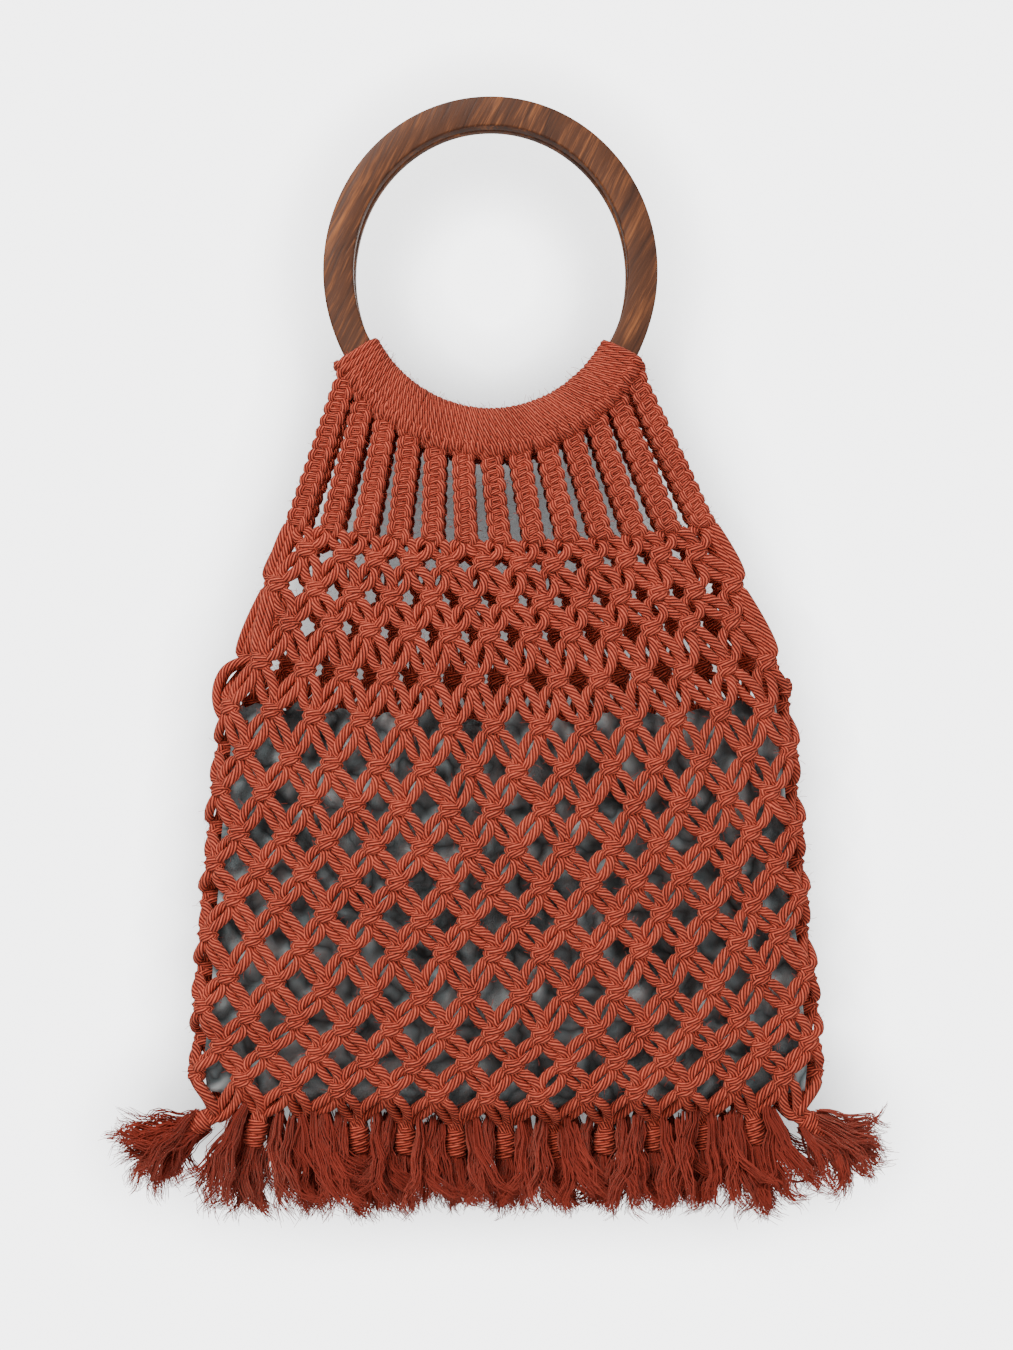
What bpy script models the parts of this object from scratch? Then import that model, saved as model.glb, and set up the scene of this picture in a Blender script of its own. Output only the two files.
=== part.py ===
"""A hanging bag of knotted cord on two flat wooden ring handles, with a cloth pouch inside.

Metres, +Z up, the front faces -Y. The origin is where the bag hangs: the inner top of the rings,
halfway between the two.
"""

import math
from collections import Counter, namedtuple

import bmesh
import bpy
from mathutils import Euler, Matrix, Vector

# Clearance between neighbouring solids
PIECE_GAP = 0.0003

# Ring handles, slightly taller than wide
RING_WIDTH = 0.1525
RING_HEIGHT = 0.1605
RING_BAND = 0.0137
RING_THICKNESS = 0.008
RING_EDGE_EASING = 0.001
RING_TILT = math.radians(3.0)

# Cord, and the sleeve of it on each ring
CORD = 0.0043
WRAP_HALF_ANGLE = math.radians(60.0)

# Braided strips from the wrap to the net
SINNET_COUNT = 13
SINNET_WIDTH = 0.011
SINNET_THICKNESS = 0.009
SINNET_WAIST = 0.0088
SQUARE_KNOT_LENGTH = 0.0094
SINNET_DROP = 0.040

# Net
BODY_WIDTH = 0.288
BODY_DEPTH = 0.049
BODY_SHIFT = 0.007
NET_LENGTH = 0.2675
NET_ROW_SAG = 0.0094
NET_WALL = 0.007
GAP_WIDTH = 0.0125
GAP_HEIGHT = 0.0245

# Side loop and side knot at the join of the two panels
SIDE_LOOP_RADIUS = 0.0085
SIDE_LOOP_CORD = 0.0052
SIDE_KNOT_WIDTH = 0.005
SIDE_KNOT_HEIGHT = 0.013
SIDE_KNOT_DEPTH = 0.010

# Cloth pouch
LINING_WALL = 0.0012
LINING_CLEARANCE = 0.0006
LINING_WIDTH_SHARE = 0.92
LINING_FOOT = 0.012

# Fringe
TASSEL_KNOT_WIDTH = 0.0102
TASSEL_KNOT_LENGTH = 0.017
LOCK_LENGTH = 0.030
LOCK_WIDTH = 0.0092

# How full the bag is from side to side: 2 is an ellipse-like bulge, more is flatter
BULGE_POWER = 2.6

BodySection = namedtuple("BodySection", "down half_width shift bulge mouth")
# down: share of NET_LENGTH from the net's top; half_width: share of half of BODY_WIDTH;
# shift: share of BODY_SHIFT, sideways; bulge: share of the fullest hollow at the centre;
# mouth: share of the fullest hollow at the side edges, which are open down to the join.
BODY_SECTIONS = (
    BodySection(0.00, 0.698, 0.65, 0.62, 0.31),
    BodySection(0.06, 0.747, 0.70, 0.66, 0.25),
    BodySection(0.13, 0.808, 0.85, 0.71, 0.16),
    BodySection(0.20, 0.849, 1.00, 0.75, 0.07),
    BodySection(0.28, 0.893, 1.00, 0.80, 0.00),
    BodySection(0.40, 0.924, 1.00, 0.90, 0.00),
    BodySection(0.54, 0.942, 0.95, 1.00, 0.00),
    BodySection(0.64, 0.956, 0.90, 1.00, 0.00),
    BodySection(0.75, 0.975, 1.00, 0.95, 0.00),
    BodySection(0.85, 0.997, 1.00, 0.83, 0.00),
    BodySection(0.94, 1.000, 1.00, 0.55, 0.00),
    BodySection(1.00, 0.997, 1.00, 0.00, 0.00),
)

# Rows of the net that carry gaps lie between these shares of NET_LENGTH
NET_SOLID_ROWS = (0.00, 0.06, 0.13, 0.20, 0.28)
NET_GAP_ROWS = (0.31, 0.45, 0.58, 0.70, 0.82, 0.94)
NET_HEM = 1.00
JOIN_DOWN = 0.28

# Rows of the lining, from its open top to above its foot, as shares of NET_LENGTH
LINING_TOP = 0.30
LINING_ROWS = (0.38, 0.48, 0.60, 0.72, 0.84)
LINING_COLUMNS = 10

LiningFold = namedtuple("LiningFold", "across down width height depth")
# across and width: shares of the half width; down and height: shares of NET_LENGTH;
# depth: share of the fullest hollow, inwards.
LINING_FOLDS = (
    LiningFold(-0.60, 0.50, 0.22, 0.12, 0.10),
    LiningFold(-0.15, 0.74, 0.25, 0.12, 0.12),
    LiningFold(0.30, 0.52, 0.20, 0.12, 0.10),
    LiningFold(0.65, 0.78, 0.22, 0.12, 0.12),
)

Tassel = namedtuple("Tassel", "across lean spread length")
# across: share of the half width; lean: degrees, outwards to the right; spread: share of the
# locks' fan; length: share of LOCK_LENGTH.
TASSELS = (
    Tassel(-0.945, -50.0, 1.35, 1.05),
    Tassel(-0.79, 2.0, 0.95, 1.00),
    Tassel(-0.635, 5.0, 0.95, 1.05),
    Tassel(-0.475, 2.0, 0.95, 1.02),
    Tassel(-0.32, -2.0, 0.95, 0.95),
    Tassel(-0.16, 0.0, 0.95, 0.96),
    Tassel(0.00, 0.0, 0.95, 0.94),
    Tassel(0.16, 2.0, 0.95, 0.92),
    Tassel(0.32, -2.0, 0.95, 0.92),
    Tassel(0.475, 0.0, 0.95, 1.00),
    Tassel(0.635, 0.0, 0.95, 0.98),
    Tassel(0.79, 1.0, 0.95, 0.98),
    Tassel(0.945, 50.0, 1.35, 1.00),
)

Lock = namedtuple("Lock", "sideways forwards length")
# sideways and forwards: degrees from straight down; length: share of the tassel's own length.
LOCKS = (
    Lock(-15.0, 7.0, 0.95),
    Lock(-6.0, -10.0, 1.00),
    Lock(6.0, 10.0, 0.97),
    Lock(15.0, -7.0, 0.94),
)

Station = namedtuple("Station", "down full")
# down: share of the length; full: share of the greatest half width.
BARREL_STATIONS = (Station(0.0, 0.74), Station(0.25, 1.0), Station(0.75, 1.0), Station(1.0, 0.74))
LOCK_STATIONS = (Station(0.0, 0.45), Station(0.62, 1.0), Station(1.0, 0.62))
BARREL_SIDES = 6
LOCK_SIDES = 5
# Where the locks start inside their barrel, as a share of its length
LOCK_ROOT = 0.8

Finish = namedtuple("Finish", "colour roughness")
FINISHES = {
    "stained_wood": Finish((0.13, 0.055, 0.025), 0.45),
    "rust_cord": Finish((0.42, 0.045, 0.022), 0.85),
    "brushed_rust_cord": Finish((0.30, 0.032, 0.018), 0.95),
    "grey_lining": Finish((0.10, 0.125, 0.125), 0.6),
}

# Facets: each sinnet takes one facet of the wrap, and the ring carries the same facets round
RING_FACET = 2 * WRAP_HALF_ANGLE / SINNET_COUNT
RING_FACETS = round(2 * math.pi / RING_FACET)
SEAM = PIECE_GAP / 2
FULL_HOLLOW = BODY_DEPTH / 2 - NET_WALL - SEAM


def clear_scene():
    for obj in list(bpy.data.objects):
        bpy.data.objects.remove(obj, do_unlink=True)


def finish(name):
    found = bpy.data.materials.get(name)
    if found:
        return found
    material = bpy.data.materials.new(name)
    material.use_nodes = True
    shader = material.node_tree.nodes["Principled BSDF"]
    red, green, blue = FINISHES[name].colour
    shader.inputs["Base Color"].default_value = (red, green, blue, 1.0)
    shader.inputs["Roughness"].default_value = FINISHES[name].roughness
    shader.inputs["Metallic"].default_value = 0.0
    return material


def add_object(name, points, faces, material_name, smooth=False):
    mesh = bpy.data.meshes.new(name)
    mesh.from_pydata([tuple(point) for point in points], [], faces)
    shell = bmesh.new()
    shell.from_mesh(mesh)
    bmesh.ops.recalc_face_normals(shell, faces=shell.faces)
    shell.to_mesh(mesh)
    shell.free()
    if smooth:
        mesh.shade_smooth()
        mesh.set_sharp_from_angle(angle=math.radians(50.0))
    mesh.materials.append(finish(material_name))
    obj = bpy.data.objects.new(name, mesh)
    bpy.context.scene.collection.objects.link(obj)
    return obj


def swept(stations, closed):
    """Points and faces of a tube through rings of points: closed into a loop, or capped."""
    sides = len(stations[0])
    points = [point for station in stations for point in station]
    faces = []
    spans = len(stations) if closed else len(stations) - 1
    for i in range(spans):
        here, there = i * sides, (i + 1) % len(stations) * sides
        for k in range(sides):
            after = (k + 1) % sides
            faces.append((here + k, here + after, there + after, there + k))
    if not closed:
        faces.append(tuple(range(sides)))
        faces.append(tuple(reversed(range(len(points) - sides, len(points)))))
    return points, faces


# Rings and their wraps


def eased_rectangle(radial, thick, easing):
    """Corner points (radial, thickness) of the band's section, centred on the band's middle."""
    half_r, half_t = radial / 2, thick / 2
    return (
        (half_r, half_t - easing),
        (half_r - easing, half_t),
        (-half_r + easing, half_t),
        (-half_r, half_t - easing),
        (-half_r, -half_t + easing),
        (-half_r + easing, -half_t),
        (half_r - easing, -half_t),
        (half_r, -half_t + easing),
    )


def ring_point(angle, radial, along):
    """A point of the ring in its own frame: angle from straight down, distance from the band's
    middle outwards, and distance along the ring's axis."""
    half_width = (RING_WIDTH - RING_BAND) / 2 + radial
    half_height = (RING_HEIGHT - RING_BAND) / 2 + radial
    return Vector((half_width * math.sin(angle), along, -half_height * math.cos(angle)))


def ring_matrix(side):
    """World placement of a ring: side is -1 for the front and 1 for the back."""
    lean_back = RING_HEIGHT / 2 * math.sin(RING_TILT)
    half_thick = RING_THICKNESS / 2 * math.cos(RING_TILT)
    centre = Vector((0.0, side * (SEAM + half_thick + lean_back), RING_BAND - RING_HEIGHT / 2))
    return Matrix.Translation(centre) @ Euler((side * RING_TILT, 0.0, 0.0)).to_matrix().to_4x4()


def make_ring(name, side):
    section = eased_rectangle(RING_BAND, RING_THICKNESS, RING_EDGE_EASING)
    start = -WRAP_HALF_ANGLE
    stations = []
    for i in range(RING_FACETS):
        angle = start + 2 * math.pi * i / RING_FACETS
        stations.append([ring_point(angle, r, t) for r, t in section])
    points, faces = swept(stations, closed=True)
    ring = add_object(name, points, faces, "stained_wood", smooth=True)
    ring.matrix_world = ring_matrix(side)
    return ring


def make_wrap(name, ring):
    """The sleeve of cord round the ring: an outer and an inner skin joined at both ends."""
    inner = eased_rectangle(
        RING_BAND + 2 * PIECE_GAP, RING_THICKNESS + 2 * PIECE_GAP, RING_EDGE_EASING
    )
    outer = eased_rectangle(RING_BAND + 2 * CORD, RING_THICKNESS + 2 * CORD, CORD)
    sides = len(outer)
    stations = []
    for i in range(SINNET_COUNT + 1):
        angle = -WRAP_HALF_ANGLE + i * RING_FACET
        stations.append([ring_point(angle, r, t) for r, t in outer + inner])
    points = [point for station in stations for point in station]
    faces = []
    for i in range(SINNET_COUNT):
        here, there = i * 2 * sides, (i + 1) * 2 * sides
        for skin in (0, sides):
            for k in range(sides):
                after = (k + 1) % sides
                faces.append(
                    (here + skin + k, here + skin + after, there + skin + after, there + skin + k)
                )
    for end in (0, SINNET_COUNT * 2 * sides):
        for k in range(sides):
            after = (k + 1) % sides
            faces.append((end + k, end + after, end + sides + after, end + sides + k))
    wrap = add_object(name, points, faces, "rust_cord")
    wrap.parent = ring
    return wrap


# The body's shape


def net_top():
    """Height of the net's top edge at its two ends."""
    return RING_BAND - RING_HEIGHT - CORD - SINNET_DROP + NET_ROW_SAG


def body_section(down):
    """The body's section at a share of NET_LENGTH, between the rows of the table."""
    if down <= BODY_SECTIONS[0].down:
        return BODY_SECTIONS[0]
    for above, below in zip(BODY_SECTIONS, BODY_SECTIONS[1:]):
        if down <= below.down:
            share = (down - above.down) / (below.down - above.down)
            return BodySection(*(a + (b - a) * share for a, b in zip(above, below)))
    return BODY_SECTIONS[-1]


def body_height(across, down):
    return net_top() - down * NET_LENGTH - NET_ROW_SAG * (1 - across**2)


def body_x(across, down):
    section = body_section(down)
    return section.shift * BODY_SHIFT + across * section.half_width * BODY_WIDTH / 2


def hollow_depth(across, down):
    """Distance from the middle plane to the net's inner face."""
    section = body_section(down)
    bulge = 1 - abs(across) ** BULGE_POWER
    open_share = section.mouth + (section.bulge - section.mouth) * bulge
    return SEAM + open_share * FULL_HOLLOW


def net_point(side, across, down, out):
    """A point of a panel: side is -1 for the front, out is the distance from its inner face."""
    y = side * (hollow_depth(across, down) + out)
    return Vector((body_x(across, down), y, body_height(across, down)))


def slab(name, flat_points, flat_faces, outer, inner, material_name):
    """A closed wall over a flat pattern of (across, down) points: two skins and all rims."""
    count = len(flat_points)
    points = [outer(*point) for point in flat_points] + [inner(*point) for point in flat_points]
    faces = list(flat_faces)
    faces += [tuple(count + k for k in reversed(face)) for face in flat_faces]
    edges = Counter()
    for face in flat_faces:
        for a, b in zip(face, face[1:] + face[:1]):
            edges[frozenset((a, b))] += 1
    for face in flat_faces:
        for a, b in zip(face, face[1:] + face[:1]):
            if edges[frozenset((a, b))] == 1:
                faces.append((b, a, count + a, count + b))
    return add_object(name, points, faces, material_name)


# Net


def net_columns():
    """Cell borders across a panel: half a column at each side, whole columns between."""
    step = 2.0 / SINNET_COUNT
    inner = [-1.0 + (k + 0.5) * step for k in range(SINNET_COUNT)]
    return [-1.0] + inner + [1.0]


def net_pattern():
    """The flat pattern of a panel: plain cells, and cells cut through by a lozenge."""
    columns = net_columns()
    rows = list(NET_SOLID_ROWS) + list(NET_GAP_ROWS) + [NET_HEM]
    points = [(u, v) for v in rows for u in columns]
    faces = []
    gap_tops = set(NET_GAP_ROWS[:-1])
    for j in range(len(rows) - 1):
        for i in range(len(columns) - 1):
            a = j * len(columns) + i
            corners = (a, a + 1, a + 1 + len(columns), a + len(columns))
            whole_column = 0 < i < len(columns) - 2
            if rows[j] not in gap_tops or not whole_column:
                faces.append(corners)
                continue
            middle_u = (columns[i] + columns[i + 1]) / 2
            middle_v = (rows[j] + rows[j + 1]) / 2
            half_u = GAP_WIDTH / body_section(middle_v).half_width / BODY_WIDTH
            half_v = GAP_HEIGHT / NET_LENGTH / 2
            first = len(points)
            points += [
                (middle_u, middle_v - half_v),
                (middle_u + half_u, middle_v),
                (middle_u, middle_v + half_v),
                (middle_u - half_u, middle_v),
            ]
            for k in range(4):
                after = (k + 1) % 4
                faces.append((corners[k], corners[after], first + k))
                faces.append((corners[after], first + after, first + k))
    return points, faces


def make_net(name, side):
    points, faces = net_pattern()
    return slab(
        name,
        points,
        faces,
        lambda u, v: net_point(side, u, v, NET_WALL),
        lambda u, v: net_point(side, u, v, 0.0),
        "rust_cord",
    )


def side_edge(side_sign):
    """The outer side of both panels where they are joined."""
    x = body_x(side_sign, JOIN_DOWN)
    return Vector((x + side_sign * PIECE_GAP, 0.0, body_height(side_sign, JOIN_DOWN)))


def make_side_loop(name):
    """A bent bundle of cord standing out sideways, with both ends at the panels' edge."""
    edge = side_edge(-1)
    sides, spans = 6, 8
    stations = []
    for i in range(spans + 1):
        turn = math.pi * i / spans
        out = Vector((-math.sin(turn), 0.0, math.cos(turn)))
        centre = out * SIDE_LOOP_RADIUS
        station = []
        for k in range(sides):
            around = 2 * math.pi * k / sides
            offset = out * math.cos(around) + Vector((0.0, 1.0, 0.0)) * math.sin(around)
            station.append(centre + offset * SIDE_LOOP_CORD / 2)
        stations.append(station)
    slope = body_x(-1, JOIN_DOWN - SIDE_LOOP_RADIUS / NET_LENGTH) - body_x(-1, JOIN_DOWN)
    points, faces = swept(stations, closed=False)
    sheared = [Vector((p.x + slope * p.z / SIDE_LOOP_RADIUS, p.y, p.z)) for p in points]
    loop = add_object(name, sheared, faces, "rust_cord", smooth=True)
    loop.location = edge
    return loop


def make_side_knot(name):
    knot = bmesh.new()
    bmesh.ops.create_uvsphere(knot, u_segments=10, v_segments=6, radius=0.5)
    size = Vector((SIDE_KNOT_WIDTH, SIDE_KNOT_DEPTH, SIDE_KNOT_HEIGHT))
    bmesh.ops.scale(knot, vec=size, verts=knot.verts)
    points = [vertex.co.copy() for vertex in knot.verts]
    faces = [tuple(vertex.index for vertex in face.verts) for face in knot.faces]
    knot.free()
    obj = add_object(name, points, faces, "rust_cord", smooth=True)
    foot = JOIN_DOWN + SIDE_KNOT_HEIGHT / 2 / NET_LENGTH
    flare = body_x(1, foot) - body_x(1, JOIN_DOWN)
    obj.location = side_edge(1) + Vector((math.hypot(SIDE_KNOT_WIDTH / 2, flare), 0.0, 0.0))
    return obj


# Sinnets


def sinnet_ends(index, side):
    """Corner points of a sinnet's top and bottom: left and right, each at back and front."""
    middle = -WRAP_HALF_ANGLE + (index + 0.5) * RING_FACET
    half_height = RING_HEIGHT / 2 + CORD
    half_angle = math.asin(SINNET_WIDTH / 2 / half_height)
    seat = RING_BAND / 2 + CORD + PIECE_GAP
    place = ring_matrix(side)
    half_thick = SINNET_THICKNESS / 2
    top = [
        place @ ring_point(middle + turn, seat, depth)
        for turn, depth in (
            (-half_angle, -half_thick),
            (half_angle, -half_thick),
            (half_angle, half_thick),
            (-half_angle, half_thick),
        )
    ]
    across = -1.0 + 2.0 * (index + 0.5) / SINNET_COUNT
    half_share = SINNET_WIDTH / BODY_WIDTH / BODY_SECTIONS[0].half_width
    out = NET_WALL / 2
    bottom = []
    for turn, depth in ((-1, -half_thick), (1, -half_thick), (1, half_thick), (-1, half_thick)):
        foot = net_point(side, across + turn * half_share, 0.0, out)
        foot.y += depth
        foot.z += PIECE_GAP + NET_ROW_SAG * half_share**2
        bottom.append(foot)
    return top, bottom


def make_sinnet(name, index, side):
    """A strip with one lobe for each square knot, from the wrap's outer face to the net."""
    top, bottom = sinnet_ends(index, side)
    start = sum(top, Vector()) / 4
    length = (sum(bottom, Vector()) / 4 - start).length
    knots = max(2, round(length / SQUARE_KNOT_LENGTH))
    stations = []
    for i in range(2 * knots + 1):
        share = i / (2 * knots)
        corners = [a.lerp(b, share) for a, b in zip(top, bottom)]
        narrow = 1.0
        if i % 2 == 0 and 0 < i < 2 * knots:
            narrow = SINNET_WAIST / SINNET_WIDTH
        middle = sum(corners, Vector()) / 4
        stations.append([middle + (corner - middle) * narrow - start for corner in corners])
    points, faces = swept(stations, closed=False)
    sinnet = add_object(name, points, faces, "rust_cord")
    sinnet.location = start
    return sinnet


# Lining


def lining_depth(across, down, wall):
    """Distance of the lining's faces from the middle plane, with its folds pressed inwards."""
    share = across * LINING_WIDTH_SHARE
    depth = hollow_depth(share, down) - LINING_CLEARANCE
    for fold in LINING_FOLDS:
        away = math.hypot((across - fold.across) / fold.width, (down - fold.down) / fold.height)
        if away < 1.0:
            depth -= fold.depth * FULL_HOLLOW * (1 - away) * (1 - across**2)
    return max(SEAM, depth - wall)


def lining_foot():
    """Share of NET_LENGTH down to the lining's closed bottom edge."""
    return NET_HEM - LINING_FOOT / NET_LENGTH


def lining_point(side, across, down, wall):
    share = across * LINING_WIDTH_SHARE
    y = side * lining_depth(across, down, wall)
    return Vector((body_x(share, down), y, body_height(share, down)))


def make_lining(name, side):
    """One cloth side of the pouch: a shallow tray whose rim meets the other side's."""
    columns = [-1.0 + 2.0 * i / LINING_COLUMNS for i in range(LINING_COLUMNS + 1)]
    rows = [LINING_TOP] + list(LINING_ROWS) + [lining_foot()]
    width = len(columns)
    last_row = len(rows) - 1
    outer, inner = [], []
    for v in rows:
        for u in columns:
            outer.append(lining_point(side, u, v, 0.0))
            inset_u = u * (1 - LINING_WALL / BODY_WIDTH * 2)
            inset_v = min(v, lining_foot() - LINING_WALL / NET_LENGTH)
            inner.append(lining_point(side, inset_u, inset_v, LINING_WALL))
    points = outer + inner
    count = len(outer)
    faces = []
    for j in range(last_row):
        for i in range(width - 1):
            a = j * width + i
            corners = (a, a + 1, a + 1 + width, a + width)
            faces.append(corners)
            faces.append(tuple(count + k for k in reversed(corners)))
    left = [j * width for j in range(len(rows))]
    foot = [last_row * width + i for i in range(1, width)]
    right = [j * width + width - 1 for j in reversed(range(last_row))]
    rim_ends = []
    rim = left + foot + right
    for k in rim:
        seat = points[k].copy()
        seat.y = side * SEAM
        rim_ends.append(seat)
    rim_inner = []
    for k in rim:
        seat = points[count + k].copy()
        seat.y = side * SEAM
        rim_inner.append(seat)
    first_outer = len(points)
    points += rim_ends
    first_inner = len(points)
    points += rim_inner
    for n in range(len(rim) - 1):
        a, b = rim[n], rim[n + 1]
        oa, ob = first_outer + n, first_outer + n + 1
        ia, ib = first_inner + n, first_inner + n + 1
        faces.append((a, b, ob, oa))
        faces.append((count + b, count + a, ia, ib))
        faces.append((oa, ob, ib, ia))
    for n, k in ((0, rim[0]), (len(rim) - 1, rim[-1])):
        faces.append((k, first_outer + n, first_inner + n, count + k))
    for i in range(width - 1):
        faces.append((i, i + 1, count + i + 1, count + i))
    return add_object(name, points, faces, "grey_lining", smooth=True)


# Fringe


def round_stations(table, sides, radius, length, first_turn):
    """Rings of points down a round shape that hangs from its own origin."""
    stations = []
    for station in table:
        reach = radius * station.full
        ring = []
        for k in range(sides):
            turn = first_turn + 2 * math.pi * k / sides
            down = -station.down * length
            ring.append(Vector((reach * math.cos(turn), reach * math.sin(turn), down)))
        stations.append(ring)
    return stations


def barrel_shape():
    """A wrapped knot: a short barrel."""
    radius = TASSEL_KNOT_WIDTH / 2
    half_side = math.pi / BARREL_SIDES
    stations = round_stations(
        BARREL_STATIONS, BARREL_SIDES, radius, TASSEL_KNOT_LENGTH, half_side
    )
    return swept(stations, closed=False)


def lock_shape(lock, spread, length):
    """A lock of brushed-out yarn, narrow at the knot, full below, and blunt at its tip."""
    root = Vector((0.0, 0.0, -LOCK_ROOT * TASSEL_KNOT_LENGTH))
    forwards = math.radians(lock.forwards)
    sideways = -math.radians(lock.sideways * spread)
    aim = Euler((forwards, sideways, 0.0)).to_matrix()
    stations = round_stations(LOCK_STATIONS, LOCK_SIDES, LOCK_WIDTH / 2, length, 0.0)
    placed = [[root + aim @ point for point in ring] for ring in stations]
    return swept(placed, closed=False)


def hem_height(x):
    """Height of the net's bottom edge, which runs straight from column border to border."""
    hem = [(body_x(u, NET_HEM), body_height(u, NET_HEM)) for u in net_columns()]
    for (left, left_z), (right, right_z) in zip(hem, hem[1:]):
        if x <= right:
            share = max(0.0, (x - left) / (right - left))
            return left_z + (right_z - left_z) * share
    return hem[-1][1]


def hang_below_hem(points, across, lean):
    """Place for a knot whose origin is its top: as high as it goes with its gap to the hem."""
    turn = Euler((0.0, -lean, 0.0)).to_matrix()
    x = body_x(across, NET_HEM)
    turned = [turn @ point for point in points]
    z = min(hem_height(x + point.x) - PIECE_GAP - point.z for point in turned)
    return Vector((x, 0.0, z))


def make_tassel(name, tassel):
    """A barrel knot with its fan of locks, fused into one body."""
    points, faces = barrel_shape()
    lean = math.radians(tassel.lean)
    place = hang_below_hem(points, tassel.across, lean)
    knot = add_object(name, points, faces, "brushed_rust_cord")
    all_points, all_faces = [], []
    for lock in LOCKS:
        length = LOCK_LENGTH * tassel.length * lock.length
        points, faces = lock_shape(lock, tassel.spread, length)
        first = len(all_points)
        all_points += points
        all_faces += [tuple(first + k for k in face) for face in faces]
    locks = add_object(name + "_locks", all_points, all_faces, "brushed_rust_cord")
    union = knot.modifiers.new("fuse_locks", "BOOLEAN")
    union.operation = "UNION"
    union.object = locks
    union.use_self = True
    graph = bpy.context.evaluated_depsgraph_get()
    fused = bpy.data.meshes.new_from_object(knot.evaluated_get(graph))
    knot.modifiers.clear()
    knot.data = fused
    bpy.data.objects.remove(locks, do_unlink=True)
    knot.location = place
    knot.rotation_euler = (0.0, -lean, 0.0)
    return knot


def main():
    clear_scene()
    for side, side_name in ((-1, "front"), (1, "back")):
        ring = make_ring(f"ring_{side_name}", side)
        make_wrap(f"ring_wrap_{side_name}", ring)
        for index in range(SINNET_COUNT):
            make_sinnet(f"sinnet_{side_name}_{index + 1:02d}", index, side)
        make_net(f"net_{side_name}", side)
        make_lining(f"lining_{side_name}", side)
    make_side_loop("side_loop_left")
    make_side_knot("side_knot_right")
    for number, tassel in enumerate(TASSELS, start=1):
        make_tassel(f"tassel_{number:02d}", tassel)


main()
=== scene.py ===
"""A hanging bag knotted from rust-coloured yarn on two round wooden ring handles.

Every cord is a tube along its own route through wraps, square-knot strips, net knots and legs.
All lengths are in metres, with +Z up, -Y towards the front and +X to the right seen from there.
"""

import logging
import math
from dataclasses import dataclass, field
from enum import Enum
from typing import Iterable, Optional, Sequence, Union

import bpy
import numpy as np
from mathutils import Euler, Matrix, Vector


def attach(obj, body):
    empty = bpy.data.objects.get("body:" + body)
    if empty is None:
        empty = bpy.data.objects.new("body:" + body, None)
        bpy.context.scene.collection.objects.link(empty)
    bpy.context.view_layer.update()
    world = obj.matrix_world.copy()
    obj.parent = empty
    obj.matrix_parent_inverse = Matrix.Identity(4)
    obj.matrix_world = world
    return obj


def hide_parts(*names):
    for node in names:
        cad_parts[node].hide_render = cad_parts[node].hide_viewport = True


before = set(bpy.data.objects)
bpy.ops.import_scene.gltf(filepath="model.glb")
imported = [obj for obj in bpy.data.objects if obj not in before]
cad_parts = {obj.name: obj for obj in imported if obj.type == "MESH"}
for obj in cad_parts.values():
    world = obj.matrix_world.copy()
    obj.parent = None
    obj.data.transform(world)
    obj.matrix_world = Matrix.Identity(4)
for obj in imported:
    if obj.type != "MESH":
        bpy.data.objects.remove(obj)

Node, Socket, Tree = bpy.types.Node, bpy.types.NodeSocket, bpy.types.NodeTree
Piece, Material = bpy.types.Object, bpy.types.Material
Colour = tuple[float, float, float]
Feed = Union[Socket, Node, float, int, bool, str, Colour]
FULL_TURN = 2 * math.pi
log = logging.getLogger("bag")


class Side(Enum):
    """The bag's two faces. The value is the sign of their Y."""

    FRONT = -1
    BACK = 1

    @property
    def word(self) -> str:
        """The name used in the pieces of this face."""
        return self.name.lower()


class Role(Enum):
    """The four cords of a square knot, from left to right seen from outside."""

    LEFT = 0
    LEFT_CORE = 1
    RIGHT_CORE = 2
    RIGHT = 3


# Node trees


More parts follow.
